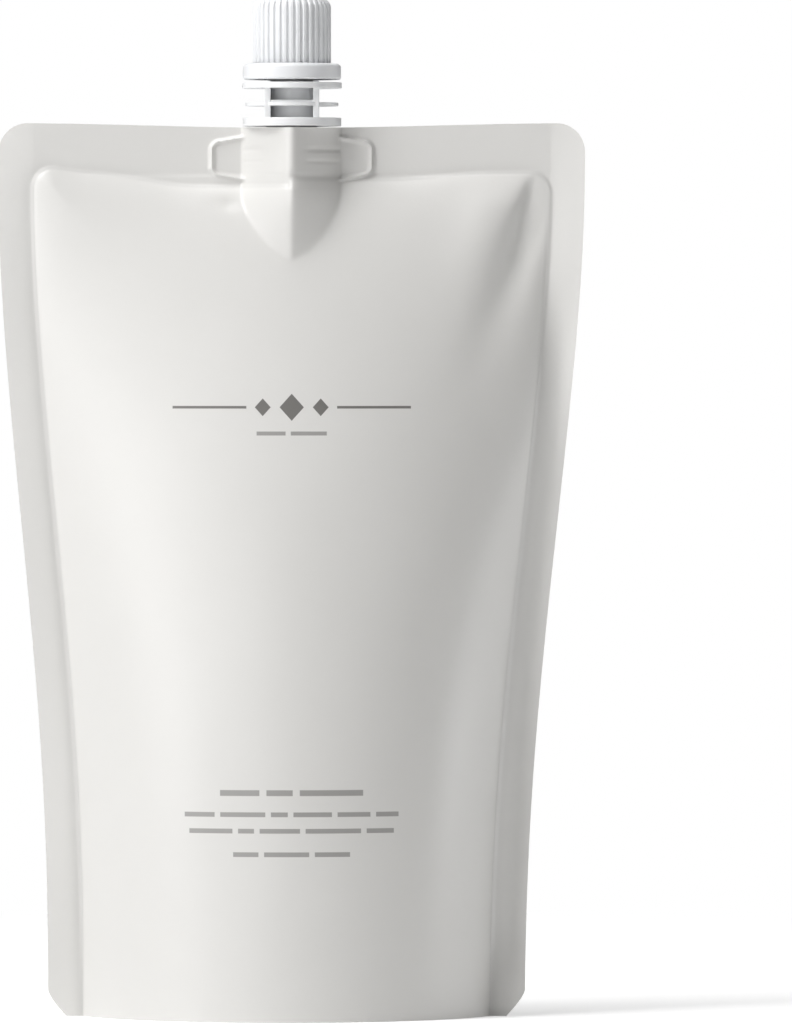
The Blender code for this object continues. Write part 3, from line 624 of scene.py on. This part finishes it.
def rounded(profile, radius=EDGE_ROUND, steps=3):
    """A closed outline with each corner turned into a small arc."""
    points = [Vector(point) for point in profile]
    made = []
    for i, corner in enumerate(points):
        back, ahead = points[i - 1] - corner, points[(i + 1) % len(points)] - corner
        reach = min(radius, 0.4 * back.length, 0.4 * ahead.length)
        start, end = corner + back.normalized() * reach, corner + ahead.normalized() * reach
        for k in range(steps + 1):
            t = k / steps
            made.append(start * (1 - t) ** 2 + corner * 2 * t * (1 - t) + end * t**2)
    return made


def turned(name, profile, material, segments=120):
    """A solid of revolution about the spout's axis."""
    shape = bmesh.new()
    rings = []
    for k in range(segments):
        c, s = math.cos(math.tau * k / segments), math.sin(math.tau * k / segments)
        rings.append([shape.verts.new((radius * c, radius * s, height)) for radius, height in profile])
    count = len(profile)
    for k in range(segments):
        here, there = rings[k], rings[(k + 1) % segments]
        for i in range(count):
            j = (i + 1) % count
            shape.faces.new((here[i], there[i], there[j], here[j]))
    return object_from(name, shape, material)


def rounded_bar(name, outline, low, high, material):
    """An upright bar with softened edges."""
    shape = bmesh.new()
    foot = [shape.verts.new((x, y, low)) for x, y in outline]
    head = [shape.verts.new((x, y, high)) for x, y in outline]
    count = len(outline)
    for i in range(count):
        j = (i + 1) % count
        shape.faces.new((foot[i], foot[j], head[j], head[i]))
    shape.faces.new(foot)
    shape.faces.new(head)
    bmesh.ops.bevel(shape, geom=shape.edges[:], offset=EDGE_ROUND, segments=2, affect="EDGES", profile=0.5)
    return object_from(name, shape, material)


def thread_ridge(name, start, turns, foot, crest, material, per_turn=72):
    """A helical ridge that rises from a wall at foot to crest and fades at both ends."""
    steps = round(turns * per_turn)
    shape = bmesh.new()
    rings = []
    for k in range(steps + 1):
        angle = math.tau * turns * k / steps
        height = start + THREAD_PITCH * angle / math.tau
        fade = smooth(min(k, steps - k) / steps * turns, 0.0, THREAD_FADE)
        top = foot + (crest - foot) * (THREAD_END_SHARE + (1 - THREAD_END_SHARE) * fade)
        flank = foot + (top - foot) * THREAD_FLANK
        section = [
            (foot, -THREAD_ROOT / 2),
            (flank, -THREAD_CREST / 2 - THREAD_ROUND),
            (top, -THREAD_CREST / 4),
            (top, THREAD_CREST / 4),
            (flank, THREAD_CREST / 2 + THREAD_ROUND),
            (foot, THREAD_ROOT / 2),
        ]
        c, s = math.cos(angle), math.sin(angle)
        rings.append([shape.verts.new((radius * c, radius * s, height + rise)) for radius, rise in section])
    for lower, upper in zip(rings, rings[1:]):
        for i in range(len(lower)):
            j = (i + 1) % len(lower)
            shape.faces.new((lower[i], lower[j], upper[j], upper[i]))
    shape.faces.new(rings[0])
    shape.faces.new(rings[-1])
    return object_from(name, shape, material)


def unite(target, tools):
    """Joins the tools into the target, as one plain mesh."""
    for tool in tools:
        step = target.modifiers.new(f"join_{tool.name}", "BOOLEAN")
        step.operation = "UNION"
        step.solver = "EXACT"
        step.object = tool
    graph = bpy.context.evaluated_depsgraph_get()
    mesh = bpy.data.meshes.new_from_object(target.evaluated_get(graph))
    target.modifiers.clear()
    target.data = mesh
    mesh.shade_smooth()
    mesh.set_sharp_from_angle(angle=SHARP_ANGLE)
    for tool in tools:
        bpy.data.objects.remove(tool)


# Node groups


def new_group(name, inputs, outputs):
    """An empty node group with float inputs, each with a value to start from, and named outputs."""
    group = bpy.data.node_groups.new(name, "ShaderNodeTree")
    for title, kind, value in inputs:
        socket = group.interface.new_socket(title, in_out="INPUT", socket_type=kind)
        socket.default_value = value
    for title, kind in outputs:
        group.interface.new_socket(title, in_out="OUTPUT", socket_type=kind)
    return group, group.nodes.new("NodeGroupInput"), group.nodes.new("NodeGroupOutput")


def add_math(tree, operation, *values):
    """A math node. Each value is a number or another node's output."""
    node = tree.nodes.new("ShaderNodeMath")
    node.operation = operation
    for socket, value in zip(node.inputs, values):
        if isinstance(value, (int, float)):
            socket.default_value = value
        else:
            tree.links.new(value, socket)
    return node.outputs[0]


def add_noise(tree, place, scale, detail, roughness=0.5):
    """A noise texture's value. The scale is a number or another node's output."""
    node = tree.nodes.new("ShaderNodeTexNoise")
    tree.links.new(place, node.inputs["Vector"])
    for title, value in (("Scale", scale), ("Detail", detail), ("Roughness", roughness)):
        if isinstance(value, (int, float)):
            node.inputs[title].default_value = value
        else:
            tree.links.new(value, node.inputs[title])
    return node.outputs[0]


def add_range(tree, value, low, high, to_low=0.0, to_high=1.0):
    """A soft change from one value to another as the input goes from low to high."""
    node = tree.nodes.new("ShaderNodeMapRange")
    node.interpolation_type = "SMOOTHSTEP"
    tree.links.new(value, node.inputs["Value"])
    for title, number in (("From Min", low), ("From Max", high), ("To Min", to_low), ("To Max", to_high)):
        node.inputs[title].default_value = number
    return node.outputs[0]


def surface_grain_group():
    """Fine grain of a skin: a height for bump, a tone round 1 and a change of roughness round 0."""
    group, given, out = new_group(
        "surface_grain",
        [
            ("Grain Scale", "NodeSocketFloat", 900.0),
            ("Cloud Scale", "NodeSocketFloat", 60.0),
            ("Tone Change", "NodeSocketFloat", 0.03),
            ("Roughness Change", "NodeSocketFloat", 0.08),
        ],
        [("Height", "NodeSocketFloat"), ("Tone", "NodeSocketFloat"), ("Roughness", "NodeSocketFloat")],
    )
    place = group.nodes.new("ShaderNodeTexCoord").outputs["Object"]
    grain = add_noise(group, place, given.outputs["Grain Scale"], detail=3.0)
    cloud = add_noise(group, place, given.outputs["Cloud Scale"], detail=4.0, roughness=0.6)
    centred = add_math(group, "SUBTRACT", cloud, 0.5)
    tone = add_math(group, "MULTIPLY_ADD", centred, given.outputs["Tone Change"], 1.0)
    rough = add_math(group, "MULTIPLY", centred, given.outputs["Roughness Change"])
    group.links.new(grain, out.inputs["Height"])
    group.links.new(tone, out.inputs["Tone"])
    group.links.new(rough, out.inputs["Roughness"])
    return group


def print_shape_group():
    """Mask of one printed bar or lozenge on the front panel, seen from the front."""
    group, given, out = new_group(
        "printed_shape",
        [
            ("Middle X", "NodeSocketFloat", 0.0),
            ("Middle Z", "NodeSocketFloat", 0.0),
            ("Half Length", "NodeSocketFloat", 0.01),
            ("Half Height", "NodeSocketFloat", 0.0005),
            ("Lozenge", "NodeSocketFloat", 0.0),
            ("Ink", "NodeSocketFloat", 1.0),
        ],
        [("Mask", "NodeSocketFloat")],
    )
    place = group.nodes.new("ShaderNodeTexCoord").outputs["Object"]
    split = group.nodes.new("ShaderNodeSeparateXYZ")
    group.links.new(place, split.inputs[0])
    offset_x = add_math(group, "SUBTRACT", split.outputs["X"], given.outputs["Middle X"])
    offset_z = add_math(group, "SUBTRACT", split.outputs["Z"], given.outputs["Middle Z"])
    from_x = add_math(group, "ABSOLUTE", offset_x)
    from_z = add_math(group, "ABSOLUTE", offset_z)
    share_x = add_math(group, "DIVIDE", from_x, given.outputs["Half Length"])
    share_z = add_math(group, "DIVIDE", from_z, given.outputs["Half Height"])
    over_x = add_math(group, "SUBTRACT", from_x, given.outputs["Half Length"])
    over_z = add_math(group, "SUBTRACT", from_z, given.outputs["Half Height"])
    bar_edge = add_math(group, "MAXIMUM", over_x, over_z)
    slant = add_math(group, "SUBTRACT", add_math(group, "ADD", share_x, share_z), 1.0)
    slant_edge = add_math(group, "MULTIPLY", slant, given.outputs["Half Height"])
    both = group.nodes.new("ShaderNodeMix")
    group.links.new(given.outputs["Lozenge"], both.inputs["Factor"])
    group.links.new(bar_edge, both.inputs["A"])
    group.links.new(slant_edge, both.inputs["B"])
    mask = add_range(group, both.outputs["Result"], -PRINT_EDGE, PRINT_EDGE, 1.0, 0.0)
    front = add_range(group, split.outputs["Y"], *PRINT_FRONT, 1.0, 0.0)
    inked = add_math(group, "MULTIPLY", mask, given.outputs["Ink"])
    group.links.new(add_math(group, "MULTIPLY", inked, front), out.inputs["Mask"])
    return group


# Materials


def new_material(name, roughness):
    """A material, its node tree and its Principled shader."""
    material = bpy.data.materials.new(name)
    material.use_nodes = True
    shader = material.node_tree.nodes["Principled BSDF"]
    shader.inputs["Roughness"].default_value = roughness
    return material, material.node_tree, shader


def add_group(tree, group, **values):
    """A use of a node group. An input's name is written with _ for each space."""
    node = tree.nodes.new("ShaderNodeGroup")
    node.node_tree = group
    for title, value in values.items():
        node.inputs[title.replace("_", " ")].default_value = value
    return node


def toned(tree, colour, tone):
    """A colour made a little lighter or darker by a tone round 1."""
    node = tree.nodes.new("ShaderNodeMix")
    node.data_type = "RGBA"
    node.blend_type = "MULTIPLY"
    node.inputs["Factor"].default_value = 1.0
    node.inputs["A"].default_value = (*colour, 1.0)
    grey = tree.nodes.new("ShaderNodeCombineColor")
    for channel in ("Red", "Green", "Blue"):
        tree.links.new(tone, grey.inputs[channel])
    tree.links.new(grey.outputs[0], node.inputs["B"])
    return node.outputs["Result"]


def add_bump(tree, shader, height, distance):
    """Tilts the shader's normal as if the height stood out by distance."""
    node = tree.nodes.new("ShaderNodeBump")
    node.inputs["Distance"].default_value = distance
    node.inputs["Strength"].default_value = 1.0
    tree.links.new(height, node.inputs["Height"])
    tree.links.new(node.outputs["Normal"], shader.inputs["Normal"])


HEADING_Z = 131.0 * MM
RULE_HALF_HEIGHT = 0.28 * MM
RULE_INK = 0.85
BAR_INK = 0.6
# Middle x, middle z, half length, half height, 1 for a lozenge, ink
ORNAMENT = (
    (-17.6 * MM, HEADING_Z, 7.9 * MM, RULE_HALF_HEIGHT, 0.0, RULE_INK),
    (17.6 * MM, HEADING_Z, 7.9 * MM, RULE_HALF_HEIGHT, 0.0, RULE_INK),
    (-6.2 * MM, HEADING_Z, 1.7 * MM, 1.9 * MM, 1.0, RULE_INK),
    (0.0, HEADING_Z, 2.6 * MM, 2.9 * MM, 1.0, RULE_INK),
    (6.2 * MM, HEADING_Z, 1.7 * MM, 1.9 * MM, 1.0, RULE_INK),
)
# Height of a line of plain bars, half height and gap of its bars, and their lengths, all in mm
BAR_LINES = (
    (125.4, 0.42, 1.1, (6.2, 7.7)),
    (48.9, 0.62, 1.5, (8.4, 5.6, 13.5)),
    (44.3, 0.5, 1.2, (6.4, 9.6, 3.6, 8.2, 7.0, 4.8)),
    (40.8, 0.5, 1.2, (9.2, 3.4, 8.6, 11.8, 5.8)),
    (35.8, 0.5, 1.2, (5.4, 9.6, 7.5)),
)


def printed_shapes():
    """The ornament and the lines of bars, centred on the front panel."""
    shapes = list(ORNAMENT)
    for height, half_height, gap, lengths in BAR_LINES:
        start = -(sum(lengths) + gap * (len(lengths) - 1)) / 2
        for length in lengths:
            middle = start + length / 2
            shapes.append((middle * MM, height * MM, length / 2 * MM, half_height * MM, 0.0, BAR_INK))
            start += length + gap
    return shapes


def film_material(grain, printed):
    """Matt laminated film with a little satin gloss, printed on the front."""
    material, tree, shader = new_material("laminated_film", FILM_ROUGHNESS)
    shader.inputs["Specular IOR Level"].default_value = FILM_SHEEN
    skin = add_group(
        tree, grain, Grain_Scale=1500.0, Cloud_Scale=28.0, Tone_Change=0.035, Roughness_Change=0.14
    )
    # Painted shade: this attribute darkens the film's tone along the crease at the inner edge of the seals
    seal_crease_shade = tree.nodes.new("ShaderNodeAttribute")
    seal_crease_shade.attribute_name = "seal_crease_shade"
    crease_shade_tone = add_math(tree, "MULTIPLY_ADD", seal_crease_shade.outputs["Fac"], -SEAL_LINE_SHADE, 1.0)
    tone = add_math(tree, "MULTIPLY", skin.outputs["Tone"], crease_shade_tone)
    film = toned(tree, FILM_COLOUR, tone)
    mask = None
    for middle_x, middle_z, half_length, half_height, lozenge, ink in printed_shapes():
        node = add_group(
            tree,
            printed,
            Middle_X=middle_x,
            Middle_Z=middle_z,
            Half_Length=half_length,
            Half_Height=half_height,
            Lozenge=lozenge,
            Ink=ink,
        )
        mask = node.outputs[0] if mask is None else add_math(tree, "MAXIMUM", mask, node.outputs[0])
    colour = tree.nodes.new("ShaderNodeMix")
    colour.data_type = "RGBA"
    colour.inputs["B"].default_value = (*PRINT_COLOUR, 1.0)
    tree.links.new(mask, colour.inputs["Factor"])
    tree.links.new(film, colour.inputs["A"])
    tree.links.new(colour.outputs["Result"], shader.inputs["Base Color"])
    roughness = add_math(tree, "ADD", skin.outputs["Roughness"], FILM_ROUGHNESS)
    tree.links.new(roughness, shader.inputs["Roughness"])
    add_bump(tree, shader, skin.outputs["Height"], distance=0.012 * MM)
    return material


def plastic_material(name, grain, colour, roughness, soft):
    """Moulded white plastic, a little translucent, with a faint tool texture."""
    material, tree, shader = new_material(name, roughness)
    skin = add_group(
        tree, grain, Grain_Scale=2200.0, Cloud_Scale=160.0, Tone_Change=0.03, Roughness_Change=0.1
    )
    tree.links.new(toned(tree, colour, skin.outputs["Tone"]), shader.inputs["Base Color"])
    tree.links.new(add_math(tree, "ADD", skin.outputs["Roughness"], roughness), shader.inputs["Roughness"])
    shader.inputs["Subsurface Weight"].default_value = soft
    shader.inputs["Subsurface Radius"].default_value = SOFT_RADIUS
    shader.inputs["Subsurface Scale"].default_value = SOFT_SCALE
    add_bump(tree, shader, skin.outputs["Height"], distance=0.008 * MM)
    return material


def foam_material(grain):
    """Closed-cell foam of the liner."""
    material, tree, shader = new_material("liner_foam", roughness=0.8)
    skin = add_group(tree, grain, Grain_Scale=3200.0, Cloud_Scale=300.0, Tone_Change=0.08)
    tree.links.new(toned(tree, FOAM_COLOUR, skin.outputs["Tone"]), shader.inputs["Base Color"])
    add_bump(tree, shader, skin.outputs["Height"], distance=0.05 * MM)
    return material


# Pieces


def paint_seal_crease_shade(mesh):
    """Paints shade along the inner edge of the seals into a mesh attribute, strongest on the line itself."""
    places = np.array([vertex.co for vertex in mesh.vertices])
    height = np.maximum(places[:, 2], 0.0)
    from_line = inside_rim(places[:, 0] - lean(height), height)
    width = np.where(from_line < 0, SEAL_LINE_OUTSIDE, SEAL_LINE_INSIDE)
    strength = 1 - SEAL_LINE_FADE * smooth(height, *SEAL_LINE_FADE_HEIGHTS)
    mark = mesh.attributes.new("seal_crease_shade", "FLOAT", "POINT")
    mark.data.foreach_set("value", (strength * np.exp(-((from_line / width) ** 2))).astype(np.float32))


def make_film_bag(material):
    """Front and rear film, side edges, folded gusset and top edge, joined into one closed skin."""
    front, rear = film_sheet(-1), film_sheet(1)
    shape = bmesh.new()
    add_grid(shape, front)
    add_grid(shape, rear)
    for edge in (0, -1):
        add_grid(shape, [front[:, edge], rear[:, edge]])
    for grid in gusset_sheets(front[0], rear[0]):
        add_grid(shape, grid)
    for grid in top_sheets(front[-1], rear[-1]):
        add_grid(shape, grid)
    bmesh.ops.remove_doubles(shape, verts=shape.verts, dist=MERGE_REACH)
    bmesh.ops.dissolve_degenerate(shape, edges=shape.edges, dist=MERGE_REACH)
    bag = object_from("film_bag", shape, material, FILM_SHARP_ANGLE)
    paint_seal_crease_shade(bag.data)
    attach(bag, "pack")
    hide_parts("film_pack")


def weld_rib_points():
    """Profile of the ribs round the weld boat, from its foot up."""
    pitch = (BOAT_HIGH - BOAT_LOW) / (2 * WELD_RIBS - 1)
    points = []
    for k in range(WELD_RIBS):
        foot = BOAT_LOW + 2 * k * pitch
        points += [(BOAT_RADIUS, foot), (BOAT_RADIUS, foot + pitch)]
        if k < WELD_RIBS - 1:
            groove = BOAT_RADIUS - WELD_RIB_DEPTH
            points += [(groove, foot + pitch), (groove, foot + 2 * pitch)]
    return points


def flange_points(radius, low, high):
    """Profile of one flange, out from the tube and back."""
    return [(TUBE_RADIUS, low), (radius, low), (radius, high), (TUBE_RADIUS, high)]


def shape_boat(mesh):
    """Gives the weld boat the cross-section of the film drawn over it."""
    for vertex in mesh.vertices:
        x, y, z = vertex.co
        radius = math.hypot(x, y)
        if not (BOAT_LOW - EDGE_ROUND <= z <= BOAT_HIGH + EDGE_ROUND) or radius < NECK_RADIUS:
            continue
        share = min(abs(x) / radius, 0.999)
        flat = float(roof(share, WRAP_ROUNDNESS, WRAP_RIDGE)) / math.sqrt(1 - share**2)
        blend = (radius - NECK_RADIUS) / (BOAT_RADIUS - NECK_RADIUS)
        vertex.co.y = y * (1 + (flat * BOAT_FIT - 1) * min(blend * 2, 1.0))


def make_spout(material):
    """Tube, weld boat, flanges and threaded neck turned as one, with the side plates and bars joined on."""
    profile = [
        (BORE_RADIUS, SPOUT_LOW.z),
        (TUBE_RADIUS, SPOUT_LOW.z),
        (TUBE_RADIUS, BOAT_HIGH - BOAT_ROOF),
        (BOAT_INSIDE, BOAT_HIGH - BOAT_ROOF),
        (BOAT_INSIDE, BOAT_LOW),
        *weld_rib_points(),
        (TUBE_RADIUS, BOAT_HIGH),
        *flange_points(*PACK_FLANGE),
        *flange_points(*RAIL_FLANGE),
        *flange_points(*TOP_FLANGE)[:3],
        (NECK_RADIUS, TOP_FLANGE[2]),
        (NECK_RADIUS, BEAD_LOW),
        (BEAD_RADIUS, BEAD_LOW),
        (BEAD_RADIUS, (BEAD_LOW + BEAD_HIGH) / 2),
        (NECK_RADIUS + BEAD_SLOPE, BEAD_HIGH),
        (NECK_RADIUS, BEAD_HIGH + BEAD_SLOPE),
        (NECK_RADIUS, SPOUT_HIGH.z),
        (BORE_RADIUS, SPOUT_HIGH.z),
    ]
    spout = turned("spout_moulding", rounded(profile), material)
    shape_boat(spout.data)
    parts = []
    for side in (-1, 1):
        near, far = side * PLATE_NEAR, side * PLATE_FAR
        outline = [
            (near, -PLATE_HALF_LENGTH),
            (far, -PLATE_HALF_LENGTH),
            (far, PLATE_HALF_LENGTH),
            (near, PLATE_HALF_LENGTH),
        ]
        parts.append(rounded_bar(f"plate_{side}", outline, PLATE_FOOT, PLATE_TOP, material))
        bar_far = side * (PLATE_HALF_LENGTH - RAIL_BAR_INSET)
        bar_near = bar_far - side * RAIL_BAR_DEPTH
        half = (PLATE_NEAR + PLATE_FAR) / 2
        outline = [(-half, bar_near), (half, bar_near), (half, bar_far), (-half, bar_far)]
        parts.append(rounded_bar(f"bar_{side}", outline, RAIL_BAR_FOOT, RAIL_BAR_TOP, material))
    foot = NECK_RADIUS - THREAD_SINK
    parts.append(
        thread_ridge("thread", NECK_THREAD_START, NECK_THREAD_TURNS, foot, NECK_THREAD_RADIUS, material)
    )
    unite(spout, parts)
    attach(spout, "pack")
    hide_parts("pour_spout")


def band_shoulder():
    """Profile of the band's rounded shoulder, from its side in to its flat rim."""
    flat_edge = BAND_RECESS + BAND_FLAT
    points = []
    for a in np.linspace(0, math.pi / 2, 9):
        radius = flat_edge + (BAND_RADIUS - flat_edge) * math.cos(a)
        points.append((radius, BAND_HIGH.z - BAND_SHOULDER * (1 - math.sin(a))))
    return points


def make_band(material):
    """Ring round the neck, with a lip under the bead and a plate above it."""
    profile = [
        (BAND_LIP, BAND_LOW.z),
        (BAND_RADIUS - BAND_EDGE, BAND_LOW.z),
        (BAND_RADIUS, BAND_LOW.z + BAND_EDGE),
        *band_shoulder(),
        (BAND_RECESS, BAND_HIGH.z),
        (BAND_RECESS, BAND_PLATE_HIGH),
        (BAND_HOLE, BAND_PLATE_HIGH),
        (BAND_HOLE, BAND_PLATE_LOW),
        (BAND_INNER, BAND_PLATE_LOW),
        (BAND_INNER, BAND_LIP_TOP),
        (BAND_LIP, BAND_LIP_TOP - BAND_LIP_SLOPE),
    ]
    band = turned("tamper_ring", rounded(profile, BAND_ROUND), material, segments=144)
    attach(band, "pack")
    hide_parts("tamper_band")


def cap_rings():
    """(radius, height, share of the rib depth) from the bore's ceiling down, round and up to the crown."""
    foot, top = CAP_LOW.z, CAP_HIGH.z
    rings = [
        (CAP_MIDDLE, CAP_CEILING, 0.0),
        (CAP_BORE - CAP_BORE_ROUND, CAP_CEILING, 0.0),
        (CAP_BORE, CAP_CEILING - CAP_BORE_ROUND, 0.0),
        (CAP_BORE, foot + CAP_LEAD_IN_HEIGHT, 0.0),
        (CAP_BORE + CAP_LEAD_IN, foot, 0.0),
        (CAP_RADIUS - RIB_DEPTH - CAP_LEAD_IN, foot, 0.0),
        (CAP_RADIUS - CAP_FOOT_ROUND, foot + CAP_FOOT_HEIGHTS[0], 1.0),
        (CAP_RADIUS, foot + CAP_FOOT_HEIGHTS[1], 1.0),
        (CAP_RADIUS, foot + CAP_BARREL_RING, 1.0),
        (CAP_RADIUS, top - CAP_TOP_ROUND - CAP_BARREL_END, 1.0),
    ]
    for a in np.linspace(0, math.pi / 2, 15):
        radius = CAP_RADIUS - CAP_TOP_ROUND * (1 - math.cos(a))
        height = top - CAP_TOP_ROUND * (1 - math.sin(a))
        rings.append((radius, height, 1 - float(smooth(a / (math.pi / 2), *RIB_CROWN_FADE))))
    rings += [(CAP_CROWN_RING, top, 0.0), (GATE_RADIUS, top, 0.0)]
    rings += [(GATE_FLOOR_RADIUS, top - GATE_DEPTH, 0.0), (CAP_MIDDLE, top - GATE_DEPTH, 0.0)]
    return rings


def make_cap(material):
    """Ribbed barrel with a rounded crown, bored from below, with its own thread."""
    count = RIB_COUNT * RIB_STEPS
    shape = bmesh.new()
    rings = []
    for radius, height, share in cap_rings():
        ring = []
        for k in range(count):
            phase = abs((k / RIB_STEPS + 0.5) % 1 - 0.5)
            valley = float(smooth(phase, *RIB_SIDE))
            here = radius - RIB_DEPTH * valley * share
            angle = math.tau * k / count
            ring.append(shape.verts.new((here * math.cos(angle), here * math.sin(angle), height)))
        rings.append(ring)
    for lower, upper in zip(rings, rings[1:]):
        for i in range(count):
            j = (i + 1) % count
            shape.faces.new((lower[i], lower[j], upper[j], upper[i]))
    shape.faces.new(rings[0])
    shape.faces.new(rings[-1])
    cap = object_from("ribbed_cap", shape, material, CAP_SHARP_ANGLE)
    foot = CAP_BORE + THREAD_SINK
    thread = thread_ridge("cap_thread", CAP_THREAD_START, CAP_THREAD_TURNS, foot, CAP_THREAD_RADIUS, material)
    unite(cap, [thread])
    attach(cap, "cap")
    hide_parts("screw_cap")


# Studio

CAMERA_PLACE = (0.010, -2.8, 0.146)
CAMERA_AIM = (0.02236, 0.0, 0.1084)
LENS = 457.9
FLOOR_SIZE = 6.0
FLOOR_DROP = 0.02 * MM
FLOOR_TONE = 0.85
FLOOR_LIFT = 0.37
FLOOR_FADE = (0.2, 0.5)
SOFT_LIGHT = 0.15


def make_camera():
    """Camera at the photograph's viewing angle."""
    data = bpy.data.cameras.new("camera")
    data.lens = LENS
    data.clip_end = 100
    camera = bpy.data.objects.new("camera", data)
    bpy.context.scene.collection.objects.link(camera)
    camera.location = CAMERA_PLACE
    aim = Vector(CAMERA_AIM) - Vector(CAMERA_PLACE)
    camera.rotation_mode = "QUATERNION"
    camera.rotation_quaternion = aim.to_track_quat("-Z", "Y")
    bpy.context.scene.camera = camera


def make_lamp(name, place, aim, size, power):
    """A square lamp that lights the object but isn't seen."""
    data = bpy.data.lights.new(name, "AREA")
    data.size = size
    data.energy = power
    lamp = bpy.data.objects.new(name, data)
    lamp.visible_camera = False
    bpy.context.scene.collection.objects.link(lamp)
    lamp.location = place
    lamp.rotation_mode = "QUATERNION"
    lamp.rotation_quaternion = (Vector(aim) - Vector(place)).to_track_quat("-Z", "Y")
    return lamp


def camera_sees(tree):
    """1 for rays that come straight from the camera, or by a mirror or glass."""
    path = tree.nodes.new("ShaderNodeLightPath")
    seen = add_math(tree, "MAXIMUM", path.outputs["Is Camera Ray"], path.outputs["Is Glossy Ray"])
    return add_math(tree, "MAXIMUM", seen, path.outputs["Is Transmission Ray"])


def make_world():
    """White to the camera, and a weak even light on the object."""
    world = bpy.data.worlds.new("studio")
    world.use_nodes = True
    bpy.context.scene.world = world
    tree = world.node_tree
    tree.nodes.clear()
    soft = tree.nodes.new("ShaderNodeBackground")
    soft.inputs["Color"].default_value = (1, 1, 1, 1)
    soft.inputs["Strength"].default_value = SOFT_LIGHT
    white = tree.nodes.new("ShaderNodeBackground")
    white.inputs["Color"].default_value = (1, 1, 1, 1)
    white.inputs["Strength"].default_value = 1.0
    mix = tree.nodes.new("ShaderNodeMixShader")
    out = tree.nodes.new("ShaderNodeOutputWorld")
    path = tree.nodes.new("ShaderNodeLightPath")
    tree.links.new(path.outputs["Is Camera Ray"], mix.inputs["Fac"])
    tree.links.new(soft.outputs[0], mix.inputs[1])
    tree.links.new(white.outputs[0], mix.inputs[2])
    tree.links.new(mix.outputs[0], out.inputs["Surface"])


def make_floor():
    """Pale floor that takes the shadow and fades to white away from the object."""
    shape = bmesh.new()
    bmesh.ops.create_grid(shape, x_segments=1, y_segments=1, size=FLOOR_SIZE / 2)
    mesh = bpy.data.meshes.new("floor")
    shape.to_mesh(mesh)
    shape.free()
    floor = bpy.data.objects.new("floor", mesh)
    bpy.context.scene.collection.objects.link(floor)
    floor.location = (0, 0, -FLOOR_DROP)
    material, tree, shader = new_material("pale_floor", roughness=0.9)
    shader.inputs["Base Color"].default_value = (FLOOR_TONE, FLOOR_TONE, FLOOR_TONE, 1)
    shader.inputs["Specular IOR Level"].default_value = 0.0
    glow = tree.nodes.new("ShaderNodeEmission")
    glow.inputs["Strength"].default_value = 1.0
    lift = tree.nodes.new("ShaderNodeEmission")
    lift.inputs["Strength"].default_value = FLOOR_LIFT
    both = tree.nodes.new("ShaderNodeAddShader")
    tree.links.new(shader.outputs[0], both.inputs[0])
    tree.links.new(lift.outputs[0], both.inputs[1])
    place = tree.nodes.new("ShaderNodeTexCoord").outputs["Object"]
    far = tree.nodes.new("ShaderNodeVectorMath")
    far.operation = "LENGTH"
    tree.links.new(place, far.inputs[0])
    away = add_range(tree, far.outputs["Value"], *FLOOR_FADE)
    near_mix = tree.nodes.new("ShaderNodeMixShader")
    tree.links.new(away, near_mix.inputs["Fac"])
    tree.links.new(both.outputs[0], near_mix.inputs[1])
    tree.links.new(glow.outputs[0], near_mix.inputs[2])
    seen_mix = tree.nodes.new("ShaderNodeMixShader")
    tree.links.new(camera_sees(tree), seen_mix.inputs["Fac"])
    tree.links.new(shader.outputs[0], seen_mix.inputs[1])
    tree.links.new(near_mix.outputs[0], seen_mix.inputs[2])
    tree.links.new(seen_mix.outputs[0], tree.nodes["Material Output"].inputs["Surface"])
    mesh.materials.append(material)


LAMP_AIM = Vector((0.0, 0.0, 0.1))
LAMP_REACH = 1.7
LAMP_SIZE = 0.75
# Azimuth in degrees from the front towards the right, elevation in degrees and power in watts
LAMPS = (
    ("key", -55.0, 42.0, 18.0),
    ("low_key", -55.0, 8.0, 4.6),
    ("low_front", -20.0, 4.0, 2.4),
    ("overhead", -62.0, 77.0, 10.6),
    ("rim", 104.0, 8.0, 3.6),
    ("back", 168.0, 35.0, 5.0),
)
# Small lamp close by, for the light edge low on the right
LOW_RIM_PLACE = (0.62, -0.04, 0.06)
LOW_RIM_AIM = (0.05, -0.01, 0.06)
LOW_RIM_SIZE = 0.12
LOW_RIM_POWER = 0.009
LOW_RIM_SPREAD = math.radians(34)


def make_lights():
    """Soft lamps all at one distance from the object, and one small lamp close by."""
    for name, azimuth, elevation, power in LAMPS:
        a, e = math.radians(azimuth), math.radians(elevation)
        ray = Vector((math.sin(a) * math.cos(e), -math.cos(a) * math.cos(e), math.sin(e)))
        make_lamp(name, LAMP_AIM + LAMP_REACH * ray, LAMP_AIM, LAMP_SIZE, power)
    low_rim = make_lamp("low_rim", LOW_RIM_PLACE, LOW_RIM_AIM, LOW_RIM_SIZE, LOW_RIM_POWER)
    low_rim.data.spread = LOW_RIM_SPREAD


def main():
    make_camera()
    make_world()
    make_floor()
    make_lights()
    grain = surface_grain_group()
    printed = print_shape_group()
    make_film_bag(film_material(grain, printed))
    make_spout(plastic_material("spout_plastic", grain, MILKY_PLASTIC, roughness=0.34, soft=0.12))
    make_band(plastic_material("band_plastic", grain, WHITE_PLASTIC, roughness=0.36, soft=0.3))
    make_cap(plastic_material("cap_plastic", grain, WHITE_PLASTIC, roughness=0.38, soft=0.0))
    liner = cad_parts["cap_liner"]
    liner.data.materials.clear()
    liner.data.materials.append(foam_material(grain))
    bpy.context.scene.view_settings.view_transform = "Standard"


main()
